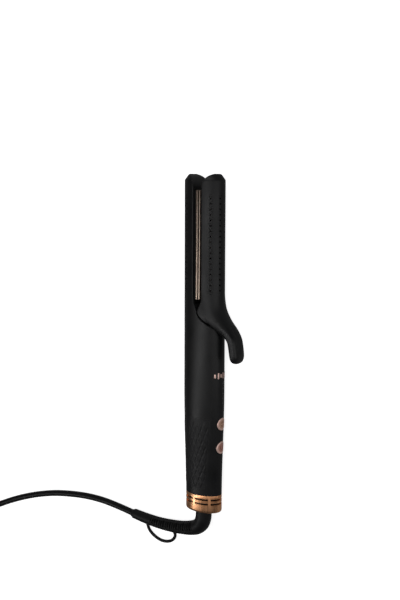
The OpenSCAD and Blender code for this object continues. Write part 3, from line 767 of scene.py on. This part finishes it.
def make_handle():
    shell = arm_form("handle_shell", CAP_H)
    combine(shell, inner_form(CAP_H - 1, HINGE_H + 13.5))
    combine(shell, inner_form(ROOT_H + 1.5, TIP_H))
    for angle in (0, OPEN_ANGLE / 2, OPEN_ANGLE):
        combine(shell, side_prism("sweep", turned(clamp_outline(), angle), -FAR, FAR))
    rim = handle_rim()
    keep = side_prism("keep", [(-FAR, 0), (FAR, 0), (FAR, rim[0][1]), *rim, (-FAR, LENGTH + 0.2)], -FAR, FAR)
    combine(shell, keep, "INTERSECT")
    for side in (1, -1):
        combine(shell, edge_cutter(rim, side, 1, rim_radius, ARM_A - 1.2))
    combine(shell, channels, keep=True)
    combine(shell, vents, keep=True)
    combine(shell, brick("panel_cut", (6, -PANEL_HALF - SEAM, PANEL_LOW_H - SEAM),
                         (FAR, PANEL_HALF + SEAM, PANEL_HIGH_H + SEAM)))
    combine(shell, grip_zone("grip_cut", -1.0, GRIP_THICK))
    lugs = []
    for low in (-LUG_OUT, LUG_IN):
        outline = [(HINGE_X - 1.4, PANEL_HIGH_H + 2), (ARM_A - WALL / 2, PANEL_HIGH_H + 2),
                   (ARM_A - WALL / 2, PANEL_HIGH_H + 10), (HINGE_X + 0.7, PANEL_HIGH_H + 14)]
        round_end = [(HINGE_X + LUG_R * math.cos(a), HINGE_H + LUG_R * math.sin(a))
                     for a in np.linspace(-0.2, math.pi, 24)]
        lugs.append(side_prism("lug", outline + round_end, low, low + LUG_OUT - LUG_IN))
    for lug in lugs:
        combine(shell, lug, "UNION")
    return shell


def grip_zone(name, outer_inset, inner_inset):
    zone = loft(name, body_rings(GRIP_LOW_H - 5, GRIP_HIGH_H + 5, outer_inset), BLACK)
    combine(zone, loft("inner", body_rings(GRIP_LOW_H - 6, GRIP_HIGH_H + 6, inner_inset), BLACK))
    combine(zone, brick("ends", (-FAR, -FAR, GRIP_LOW_H), (FAR, FAR, GRIP_HIGH_H)), "INTERSECT")
    combine(zone, brick("front", (0, -PANEL_HALF - 0.6, 0), (FAR, PANEL_HALF + 0.6, LENGTH)))
    return zone


handle = make_handle()
tidy(handle, 30)
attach(handle, "handle")
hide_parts("handle_housing", "fixed_arm_shell", "fixed_arm_tip")


# The lever from its root to its tip: outer point, inner point, half width and squareness.
# Heights count from the hinge.
LEVER_STATIONS = [
    (ARM_A - 0.3, 34.0, -ARM_A + 4, 30.0, 14.0, 2.0), (ARM_A, 26.0, -10, 16.0, 14.0, 2.0),
    (ARM_A + 0.9, 18.5, 0, 4.0, 13.6, 2.0), (ARM_A + 3.4, 11.8, 9.0, -1.0, 12.6, 2.1),
    (ARM_A + 7.2, 5.9, 16.4, -4.6, 11.2, 2.2), (ARM_A + 12.0, -0.1, 22.4, -7.0, 10.0, 2.4),
    (LEVER_X - 2.7, -7.5, LEVER_X - 12.2, -11.4, 9.3, 2.6),
    (LEVER_X - 1.0, -14.6, LEVER_X - 10.6, -17.2, 9.1, 2.8),
    (LEVER_X, -23.0, LEVER_X - 9.4, -24.4, 9.0, 2.8), (LEVER_X - 0.1, -26.8, LEVER_X - 8.6, -27.8, 8.3, 2.8),
    (LEVER_X - 0.8, -29.3, LEVER_X - 7.0, -29.9, 6.8, 2.6),
    (LEVER_X - 1.9, -30.6, LEVER_X - 5.4, -30.8, 4.4, 2.4),
    (LEVER_X - 3.0, -31.0, LEVER_X - 4.0, -31.0, 1.8, 2.2),
]
LEVER_STEPS = 72


def superellipse(t, power):
    c, s = math.cos(t), math.sin(t)
    return math.copysign(abs(c) ** (2 / power), c), math.copysign(abs(s) ** (2 / power), s)


def make_lever():
    rings = []
    for ox, oh, ix, ih, half, power in curve_through(LEVER_STATIONS, 1.6):
        mx, mh, dx, dh = (ox + ix) / 2, (oh + ih) / 2, (ox - ix) / 2, (oh - ih) / 2
        ring = []
        for t in round_angles(LEVER_STEPS):
            p, q = superellipse(t, power)
            ring.append(row_point(mx + dx * p, half * q, HINGE_H + mh + dh * p))
        rings.append(ring)
    return loft("lever", rings, BLACK)


def make_clamp():
    shell = arm_form("clamp_shell", HINGE_H - 9)
    rim = clamp_rim()
    combine(shell, make_lever(), "UNION")
    under = [(FAR, 100), (ARM_A + 1.7, 100), (ARM_A + 1.7, rim[0][1] - 2.0), (ARM_A + 0.3, rim[0][1] - 0.3)]
    combine(shell, side_prism("keep", [*under, *rim, (FAR, LENGTH + 0.2)], -FAR, FAR), "INTERSECT")
    for side in (1, -1):
        combine(shell, edge_cutter(rim, side, -1, rim_radius, ARM_A - 4))
    combine(shell, inner_form(HINGE_H - 30, TIP_H))
    combine(shell, channels, keep=True)
    combine(shell, vents, keep=True)
    lug_room = disc_outline(HINGE_X, HINGE_H, LUG_ROOM_R)
    combine(shell, side_prism("lug_room", lug_room, -LUG_OUT - 0.2, LUG_OUT + 0.2))
    combine(shell, side_prism("pin_hole", disc_outline(HINGE_X, HINGE_H, PIN_HOLE_R), -FAR, FAR))
    for side in (1, -1):
        low, high = sorted((side * (LUG_OUT + 0.25), side * EAR_OUT))
        outline = [(HINGE_X + EAR_R * math.cos(a), HINGE_H + EAR_R * math.sin(a))
                   for a in np.linspace(math.pi, 2 * math.pi, 24)]
        outline += [(ARM_A - WALL / 2, HINGE_H + 6), (ARM_A - WALL / 2, HINGE_H + 14),
                    (HINGE_X - 1, HINGE_H + 14)]
        ear = side_prism("ear", outline, low, high)
        combine(ear, side_prism("pin_hole", disc_outline(HINGE_X, HINGE_H, PIN_HOLE_R), -FAR, FAR))
        combine(ear, loft("skin", body_rings(HINGE_H - 30, HINGE_H + 28, 0.9), BLACK), "INTERSECT")
        combine(shell, ear, "UNION")
    return shell


clamp = make_clamp()
tidy(clamp, 30)
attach(clamp, "clamp")
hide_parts("clamp_arm_shell", "clamp_arm_tip")
bpy.data.objects.remove(vents)
bpy.data.objects.remove(channels)

# ---------- front panel, lights and badge ----------

BUTTON_H = (61.6, 83.6)
BUTTON_R = (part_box("power_button")[1].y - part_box("power_button")[0].y) / 2 / MM
LIGHT_COUNT = 5
LIGHT_LOW_H = PANEL_HIGH_H - 43
LIGHT_PITCH = 4.6
LIGHT_R = 0.65
BADGE_H = PANEL_HIGH_H - 17
BAR_PITCH = 2.7
BAR_HALF = 0.6
BAR_STEPS = 24


def make_panel():
    panel = loft("front_cover", body_rings(CAP_H, PANEL_HIGH_H + 4, 0, 2.5), PANEL)
    combine(panel, loft("inner", body_rings(CAP_H - 1, PANEL_HIGH_H + 5, WALL, 2.5), PANEL))
    combine(panel, brick("keep", (6, -PANEL_HALF, PANEL_LOW_H), (FAR, PANEL_HALF, PANEL_HIGH_H)), "INTERSECT")
    for h in BUTTON_H:
        combine(panel, front_hole(h, BUTTON_R + 0.25, 72))
    for i in range(LIGHT_COUNT):
        combine(panel, front_hole(LIGHT_LOW_H + i * LIGHT_PITCH, LIGHT_R, 24))
    return panel


panel = make_panel()
tidy(panel, 30)
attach(panel, "handle")
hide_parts("front_panel")

finish_node("indicator_lights", SMOKED)


def surface_x(s, h, lift=0.0):
    """Distance of the lever side's surface from the axis."""
    a, b = oval_at(h, -lift)
    return a * math.sqrt(max(0.0, 1 - (s / b) ** 2))


def make_badge():
    """A row of long and short bars that follow the panel's curve."""
    points, faces = [], []
    for i in range(-3, 4):
        half = 1.7 if i % 2 else 2.8
        first = len(points)
        for lift in (-0.2, 0.1, 0.16):
            shrink = 0.08 if lift > 0.12 else 0.0
            for t in round_angles(BAR_STEPS):
                p, q = superellipse(t, 5)
                s, h = i * BAR_PITCH + (BAR_HALF - shrink) * p, BADGE_H + (half - shrink) * q
                points.append(row_point(surface_x(s, h, lift), s, h))
        faces += grid_faces(3, BAR_STEPS, True, first)
        faces.append(tuple(first + k for k in range(BAR_STEPS)))
        faces.append(tuple(first + 2 * BAR_STEPS + k for k in range(BAR_STEPS)))
    return new_object("badge_bars", points, faces, ROSE, 30)


badge = make_badge()
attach(badge, "handle")
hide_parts("name_badge")


def key_ring(r, h, lift, steps, back=None):
    """Ring at a height above the panel's surface, or flat at the key's back where there is no height."""
    ring = []
    for t in round_angles(steps):
        s, dh = r * math.cos(t), r * math.sin(t)
        ring.append(row_point(back if lift is None else surface_x(s, h + dh, lift), s, h + dh))
    return ring


def make_button(name, h, body, node, face_material, marks):
    """Round key whose face follows the panel's curve: rows of (radius, height above the panel)."""
    back = (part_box(node)[0].x - AXIS_X) / MM
    rows = [(BUTTON_R - 0.1, None), (BUTTON_R, -1.0), (BUTTON_R, 0.1), (BUTTON_R - 0.1, 0.25),
            (BUTTON_R - 0.35, 0.36), (BUTTON_R - 0.8, 0.38), (BUTTON_R - 1.15, 0.3), (BUTTON_R - 1.35, 0.05),
            (BUTTON_R - 1.6, -0.04), (3.0, 0.0), (1.6, 0.0), (0.4, 0.0)]
    button = loft(name, [key_ring(r, h, lift, 72, back) for r, lift in rows], ROSE, 30)
    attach(button, body)
    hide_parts(node)
    rows = ((4.05, -0.1), (4.05, 0.03), (2.6, 0.05), (1.2, 0.05), (0.3, 0.05))
    face = loft(name + "_face", [key_ring(r, h, lift, 56) for r, lift in rows], face_material, 30)
    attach(face, body)
    arcs = []
    for start, end, radius, width in marks:
        rings = []
        for t in np.radians(np.linspace(start, end, 32)):
            ring = []
            for r, lift in ((radius - width / 2, -0.1), (radius + width / 2, -0.1), (radius + width / 2, 0.12),
                            (radius - width / 2, 0.12)):
                s, dh = r * math.cos(t), r * math.sin(t)
                ring.append(row_point(surface_x(s, h + dh, lift), s, h + dh))
            rings.append(ring)
        arcs.append(loft("arc", rings, MARK, 30))
    mark = join(name + "_mark", arcs, MARK)
    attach(mark, body)


# Arcs on the keys: start and end in degrees, radius and width
POWER_ARCS = [(125, 415, 1.9, 0.55)]
MODE_ARCS = [(20, 160, 2.0, 0.55), (200, 340, 2.0, 0.55)]

make_button("power_key", BUTTON_H[0], "power_button", "power_button", KEY_RED, POWER_ARCS)
make_button("mode_key", BUTTON_H[1], "mode_button", "mode_button", KEY_TAN, MODE_ARCS)

# ---------- textured grip ----------

CELL_W = 5.4
CELL_H = 11.8
CELL_RELIEF = 0.26
GRIP_ROWS = 190
GRIP_COLUMNS = 300
GRIP_EDGE = PANEL_HALF + 0.7


def grip_height(w, h):
    """Relief of the leaf cells: w runs round the handle from the middle of its back."""
    p, q = w / CELL_W, (h - GRIP_LOW_H) / CELL_H
    a, b = p + q, p - q
    ca, cb = math.floor(a) + 0.5, math.floor(b) + 0.5
    u, v = a - ca, b - cb
    centre_q = (ca - cb) / 2
    rows = (GRIP_HIGH_H - GRIP_LOW_H) / CELL_H
    if centre_q < 0.45 or centre_q > rows - 0.45:
        return 0.0
    edge = 0.5 - max(abs(u), abs(v))
    return CELL_RELIEF * ease(edge / 0.24) * (0.72 + 0.56 * abs(u + v))


def make_grip():
    rows, columns = GRIP_ROWS, GRIP_COLUMNS
    heights = np.linspace(GRIP_LOW_H + 0.1, GRIP_HIGH_H - 0.1, rows)
    points = []
    for layer in (0, 1):
        for h in heights:
            a, b = oval_at(h)
            edge_angle = math.asin(min(1.0, GRIP_EDGE / b))
            angles = np.linspace(edge_angle, 2 * math.pi - edge_angle, columns)
            xs, ss = a * np.cos(angles), b * np.sin(angles)
            along = np.concatenate([[0], np.cumsum(np.hypot(np.diff(xs), np.diff(ss)))])
            along -= along[-1] / 2
            for k, angle in enumerate(angles):
                if layer:
                    inset = GRIP_THICK - 0.05
                else:
                    border = min(h - heights[0], heights[-1] - h, along[k] - along[0], along[-1] - along[k])
                    inset = -grip_height(along[k], h) * ease(border / 1.2)
                points.append(row_point((a - inset) * math.cos(angle), (b - inset) * math.sin(angle), h))
    return new_object("grip_relief", points, sheet_faces(rows, columns), GRIP, 50)


grip = make_grip()
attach(grip, "handle")
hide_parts("grip_sleeve")

# ---------- end cap ----------

SLOT_HEIGHTS = (CAP_H - 4, CAP_H - 8)
SLOT_TALL = 1.6
RIB_ANGLES = (38, 109, 180, 251, 322)
RIB_SPAN = 9
CAP_HOLE_R = 7.9


def flat_oval(a, b, h, steps):
    return [row_point(a * math.cos(t), b * math.sin(t), h) for t in round_angles(steps)]


def make_cap():
    rows = [(0, 1.5, 1.35), (0.1, 1.05, 0.95), (0.4, 0.6, 0.55), (0.9, 0.25, 0.22),
            (1.6, 0.06, 0.05), (2.4, 0, 0), (5, 0, 0), (CAP_H - 0.5, 0, 0),
            (CAP_H - 0.25, 0.06, 0.06), (CAP_H - 0.05, 0.25, 0.25)]
    rings = [flat_oval(CAP_A - ia, CAP_B - ib, h, BODY_STEPS) for h, ia, ib in rows]
    cap = loft("copper_end", rings, COPPER, 30)
    inside = [flat_oval(CAP_A - WALL, CAP_B - WALL, h, BODY_STEPS) for h in (WALL, CAP_H + 2)]
    combine(cap, loft("inside", inside, COPPER))
    hole = [flat_oval(CAP_HOLE_R, CAP_HOLE_R, h, 72) for h in (-1, WALL + 1)]
    combine(cap, loft("hole", hole, COPPER))
    for h in SLOT_HEIGHTS:
        for k, start in enumerate(RIB_ANGLES):
            end = RIB_ANGLES[(k + 1) % len(RIB_ANGLES)]
            if end < start:
                end += 360
            angles = np.radians(np.linspace(start + RIB_SPAN / 2, end - RIB_SPAN / 2, 24))
            ring = [(r * math.cos(a), r * math.sin(a))
                    for r, sweep in ((8, angles), (30, angles[::-1])) for a in sweep]
            slot = [[row_point(x, s, h + t * SLOT_TALL / 2) for x, s in ring] for t in (-1, 1)]
            combine(cap, loft("slot", slot, COPPER))
    return cap


cap = make_cap()
tidy(cap, 30)
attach(cap, "handle")
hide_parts("end_cap")

# ---------- heated plates ----------


def make_plate(name, side, body, node):
    low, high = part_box(node)
    x0, x1 = (low.x - AXIS_X) / MM, (high.x - AXIS_X) / MM
    s0, s1 = (low.z - AXIS_Z) / MM, (high.z - AXIS_Z) / MM
    h0, h1 = (low.y - BASE_Y) / MM, (high.y - BASE_Y) / MM
    plate = brick(name, (x0, s0, h0), (x1, s1, h1), PLATE)
    soften(plate, 0.85, 5)
    tidy(plate, 30)
    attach(plate, body)
    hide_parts(node)


make_plate("fixed_plate_face", -1, "fixed_plate", "fixed_heat_plate")
make_plate("clamp_plate_face", 1, "clamp_plate", "clamp_heat_plate")

# ---------- lever pad ----------

PAD_LINE = [(ARM_A + 8.9, 3.8), (ARM_A + 12.0, -0.1), (LEVER_X - 2.7, -7.5), (LEVER_X - 1.0, -14.6),
            (LEVER_X - 0.05, -22.5)]
PAD_HALF = 5.6
PAD_RIB_PITCH = 1.35


def make_pad():
    """Soft pad along the lever's outer side, with fine ribs at its upper end."""
    line = curve_through(PAD_LINE, 0.2)
    along = np.concatenate([[0], np.cumsum(np.linalg.norm(np.diff(line, axis=0), axis=1))])
    rows, columns = 180, 30
    points = []
    for layer in (0, 1):
        for r in range(rows):
            u = -1 + 2 * r / (rows - 1)
            for c in range(columns):
                v = -1 + 2 * c / (columns - 1)
                here = (0.5 + 0.5 * u * math.sqrt(1 - 0.16 * v * v)) * along[-1]
                half = PAD_HALF * math.sqrt(1 - 0.3 * abs(u) ** 5)
                x, h = (float(np.interp(here, along, line[:, i])) for i in (0, 1))
                ahead, before = min(here + 0.4, along[-1]), max(here - 0.4, 0)
                ahead = [float(np.interp(ahead, along, line[:, i])) for i in (0, 1)]
                before = [float(np.interp(before, along, line[:, i])) for i in (0, 1)]
                out = Vector((before[1] - ahead[1], ahead[0] - before[0])).normalized()
                rim = max(abs(u) ** 6, abs(v) ** 3)
                if layer:
                    up = -1.6
                else:
                    ridge = 0.5 - 0.5 * math.cos(2 * math.pi * here / PAD_RIB_PITCH)
                    ribbed = ease((here - 1.2) / 1.0) * ease((15.5 - here) / 2.0) * ease((0.8 - abs(v)) / 0.15)
                    up = 0.5 - 0.8 * v * v - 0.28 * ridge * ribbed - 0.6 * ease((rim - 0.72) / 0.28)
                points.append(row_point(x + out.x * up, v * half, HINGE_H + h + out.y * up))
    return new_object("thumb_pad", points, sheet_faces(rows, columns), PAD, 60)


pad = make_pad()
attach(pad, "clamp")
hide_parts("lever_pad")

# ---------- strain relief and hang loop ----------

RELIEF_RADII = (7.5, 7.5, 7.5, 7.4, 7.1, 6.7, 6.2, 5.9, 5.5, 5.1, 4.7)
RIB_PITCH = 2.9
RIB_FROM = 27.0
RIB_COUNT = 19
RIB_DEPTH = 2.3


def make_relief():
    route = curve_through([(*p, r) for p, r in zip(RELIEF_ROUTE, RELIEF_RADII)], 0.3)
    places = [np.array(table_point(*p[:3])) for p in route]
    along = np.concatenate([[0], np.cumsum(np.linalg.norm(np.diff(route[:, :3], axis=0), axis=1))])
    total = along[-1]

    def radius(share, angle):
        here = share * total
        base = float(np.interp(here, along, route[:, 3]))
        turn = (math.degrees(angle) + 20) % 90
        row = int((math.degrees(angle) + 20) % 360 // 90)
        quarter = turn - 45
        n = (here - RIB_FROM) / RIB_PITCH + (0.5 if row % 2 else 0.0)
        slot = ease((abs((n % 1) - 0.5) - 0.17) / 0.1) if 0 <= n <= RIB_COUNT else 0.0
        window = 1 - ease((abs(quarter) - 31) / 7)
        end = ease((total - here) / 2.5)
        return base * (0.8 + 0.2 * end) - RIB_DEPTH * slot * window * (base / 7)

    rings = sweep_rings(places, radius, 96)
    return loft("relief_boot", rings, RELIEF, 40)


relief = make_relief()
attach(relief, "cord_set")
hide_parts("strain_relief")

LOOP_ROUTE = [
    (-37, -31.5, 8.4), (-37.4, -36, 6.4), (-39.8, -40.6, 4.2), (-44.6, -45, 2.4), (-50.6, -47.4, 1.6),
    (-57, -47.6, 1.6), (-63.6, -45.4, 1.8), (-68.6, -41, 3), (-70.6, -36, 4.4), (-70.8, -30.8, 5.6),
]
LOOP_R = 1.5


def make_loop():
    route = curve_through(LOOP_ROUTE, 1.0)
    places = [np.array(table_point(*p)) for p in route]

    def radius(share, angle):
        return LOOP_R + 0.5 * (1 - ease(min(share, 1 - share) / 0.08))

    return loft("loop_ring", sweep_rings(places, radius, 28), RELIEF, 40)


loop = make_loop()
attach(loop, "cord_set")
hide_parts("hang_loop")

# ---------- plug and tie ----------

PLUG_ANGLE = 51.5
SLEEVE_LONG = 20.0
PLUG_LONG = 36.0
PLUG_WIDE = 35.0
PLUG_THICK = 13.8
PIN_LONG = 19.0
PIN_APART = 19.0


def plug_point(along, side, up):
    c, s = math.cos(math.radians(PLUG_ANGLE)), math.sin(math.radians(PLUG_ANGLE))
    x, y, z = TAIL_ROUTE[-1]
    return table_point(x + along * c - side * s, y + along * s + side * c, z + up)


def plug_loft(name, rows, power, material, steps=64, side=0.0):
    """Loft along the plug: rows of (distance, half width, half thickness)."""
    rings = []
    for along, wide, thick in rows:
        ring = []
        for t in round_angles(steps):
            p, q = superellipse(t, power)
            ring.append(plug_point(along, side + wide * p, thick * q))
        rings.append(ring)
    return loft(name, rings, material)


def make_plug():
    half, thick = PLUG_WIDE / 2, PLUG_THICK / 2
    start = SLEEVE_LONG
    outline = [(start, 5.4, 5.2), (start + 2, 6.0, 5.6), (start + 7, 9.4, 6.1), (start + 13, 12.4, 6.4),
               (start + 18, 13.7, 6.6), (start + 22, 15.4, thick), (start + 26, 17.1, thick),
               (start + 29, half, thick), (start + 33, half, thick), (start + 34.6, half - 0.25, thick - 0.2),
               (start + 35.5, half - 0.9, thick - 0.8), (start + PLUG_LONG, half - 2.0, thick - 1.8)]
    rows = curve_through(outline, 0.8)
    body = plug_loft("plug_shell", [tuple(r) for r in rows], 2.8, RELIEF)
    ribs = []
    for d in np.arange(0, SLEEVE_LONG + 0.01, 0.35):
        base = 3.75 + (5.2 - 3.75) * d / SLEEVE_LONG
        groove = 0.7 * ease((abs(((d - 2) / 2.8) % 1 - 0.5) - 0.22) / 0.1) if 2 < d < 16 else 0.0
        ribs.append((d, base - groove, base - groove))
    sleeve = plug_loft("plug_boot", ribs, 2.0, RELIEF)
    base = start + PLUG_LONG
    pin_rows = [(base - 1, 2, 2), (base + PIN_LONG - 1.6, 2, 2), (base + PIN_LONG - 0.7, 1.7, 1.7),
                (base + PIN_LONG - 0.15, 1.1, 1.1), (base + PIN_LONG, 0.5, 0.5)]
    pins = [plug_loft("pin", pin_rows, 2.0, NICKEL, 40, side) for side in (-PIN_APART / 2, PIN_APART / 2)]
    return body, sleeve, join("plug_prongs", pins, NICKEL)


plug, sleeve, prongs = make_plug()
for piece, node_name, slot_name in ((plug, "plug_body", "relief_black"),
                                    (sleeve, "plug_sleeve", "relief_black"),
                                    (prongs, "plug_pins", "pin_nickel")):
    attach(piece, "cord_set")
    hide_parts(node_name)

TIE_ANGLE = 20.0
TIE_WIDE = 10.0
TIE_THICK = 0.7


def make_tie():
    """Strap round the coil's bundle of turns."""
    low_r, high_r = COIL_INNER_R - CORD_R - 0.1, COIL_OUTER_R + CORD_R + 0.1
    low_z, high_z = 0.72, COIL_LIFT + 2 * CORD_D + 0.1
    corner = 2.6
    outline = []
    for cx, cz, start in ((high_r - corner, high_z - corner, 0), (low_r + corner, high_z - corner, 90),
                          (low_r + corner, low_z + corner, 180), (high_r - corner, low_z + corner, 270)):
        for a in np.radians(np.linspace(start, start + 90, 10)):
            outline.append((cx, cz, math.cos(a), math.sin(a), corner))
    turn = math.radians(TIE_ANGLE)
    section = ((0, -1), (0, 1), (TIE_THICK * 0.6, 1), (TIE_THICK, 0.9), (TIE_THICK, -0.9),
               (TIE_THICK * 0.6, -1))
    rings = []
    for cx, cz, c, s, r in outline:
        ring = []
        for out, wide in section:
            reach, z, w = cx + c * (r + out), cz + s * (r + out), wide * TIE_WIDE / 2
            ring.append(table_point(COIL_X + reach * math.cos(turn) - w * math.sin(turn),
                                    COIL_Y + reach * math.sin(turn) + w * math.cos(turn), z))
        rings.append(ring)
    points = [p for ring in rings for p in ring]
    n, wide = len(rings), len(section)
    faces = []
    for i in range(n):
        here, ahead = i * wide, ((i + 1) % n) * wide
        for k in range(wide):
            side = (k + 1) % wide
            faces.append((here + k, here + side, ahead + side, ahead + k))
    return new_object("coil_strap", points, faces, STRAP, 40)


tie = make_tie()
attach(tie, "cord_set")
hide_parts("cord_tie")

# ---------- floor, lights and world ----------

FLOOR_HALF = 6.0
FLOOR_SHINE = 0.85
GLOW_SHINE = 0.16
GLOW_DROP = 0.002
WORLD_SEEN = 1.1
WORLD_LIGHT = 0.045

# Each lamp: name, place, target, size and power, in metres and watts
LAMPS = [
    ("strip", (-0.2, -0.15, 0.97), (-0.01, -0.05, 0), (0.13, 1.9), 4.4),
    ("front_window", (0.75, 0.0, 0.35), (0, 0, 0), (0.4, 0.8), 1.4),
    ("overhead", (0.3, -0.1, 1.0), (0, 0, 0), (0.7, 0.9), 0.6),
    ("far_window", (0.12, 1.0, 0.6), (0, 0.1, 0), (0.6, 0.35), 2.4),
]


def make_floor():
    """A white floor for the eye only, and a dim one below it that lights the tool from underneath."""
    shader = Shader("floor_white")
    shader.set(Base_Color=(0.85, 0.85, 0.85, 1), Roughness=0.9, Specular_IOR_Level=0.1,
               Emission_Color=(1, 1, 1, 1), Emission_Strength=FLOOR_SHINE)
    mesh = bpy.data.meshes.new("floor")
    corners = [(-FLOOR_HALF, -FLOOR_HALF, 0), (FLOOR_HALF, -FLOOR_HALF, 0), (FLOOR_HALF, FLOOR_HALF, 0),
               (-FLOOR_HALF, FLOOR_HALF, 0)]
    mesh.from_pydata(corners, [], [(0, 1, 2, 3)])
    floor = bpy.data.objects.new("floor", mesh)
    link(floor)
    mesh.materials.append(shader.material)
    floor.visible_diffuse = False
    floor.visible_glossy = False
    under_shader = Shader("floor_glow")
    under_shader.set(Base_Color=(0.3, 0.3, 0.3, 1), Roughness=0.9, Emission_Color=(1, 1, 1, 1),
                     Emission_Strength=GLOW_SHINE)
    under = bpy.data.objects.new("floor_glow", mesh.copy())
    under.data.materials[0] = under_shader.material
    under.location.z = -GLOW_DROP
    under.visible_camera = False
    link(under)


def area_light(name, place, target, size, power):
    data = bpy.data.lights.new(name, "AREA")
    data.shape = "RECTANGLE"
    data.size, data.size_y = size
    data.energy = power
    light = bpy.data.objects.new(name, data)
    light.location = place
    light.rotation_euler = (Vector(target) - Vector(place)).to_track_quat("-Z", "Y").to_euler()
    link(light)


def make_world(seen, glow):
    """White to the eye, dim as a light, so that dark plastic stays dark."""
    world = bpy.data.worlds.new("studio")
    world.use_nodes = True
    tree = world.node_tree
    background = tree.nodes["Background"]
    path = tree.nodes.new("ShaderNodeLightPath")
    mix = tree.nodes.new("ShaderNodeMapRange")
    mix.inputs["To Min"].default_value = glow
    mix.inputs["To Max"].default_value = seen
    tree.links.new(path.outputs["Is Camera Ray"], mix.inputs["Value"])
    tree.links.new(mix.outputs["Result"], background.inputs["Strength"])
    background.inputs["Color"].default_value = (1, 1, 1, 1)
    bpy.context.scene.world = world


make_floor()
make_world(WORLD_SEEN, WORLD_LIGHT)
for lamp in LAMPS:
    area_light(*lamp)
bpy.context.scene.view_settings.view_transform = "Standard"
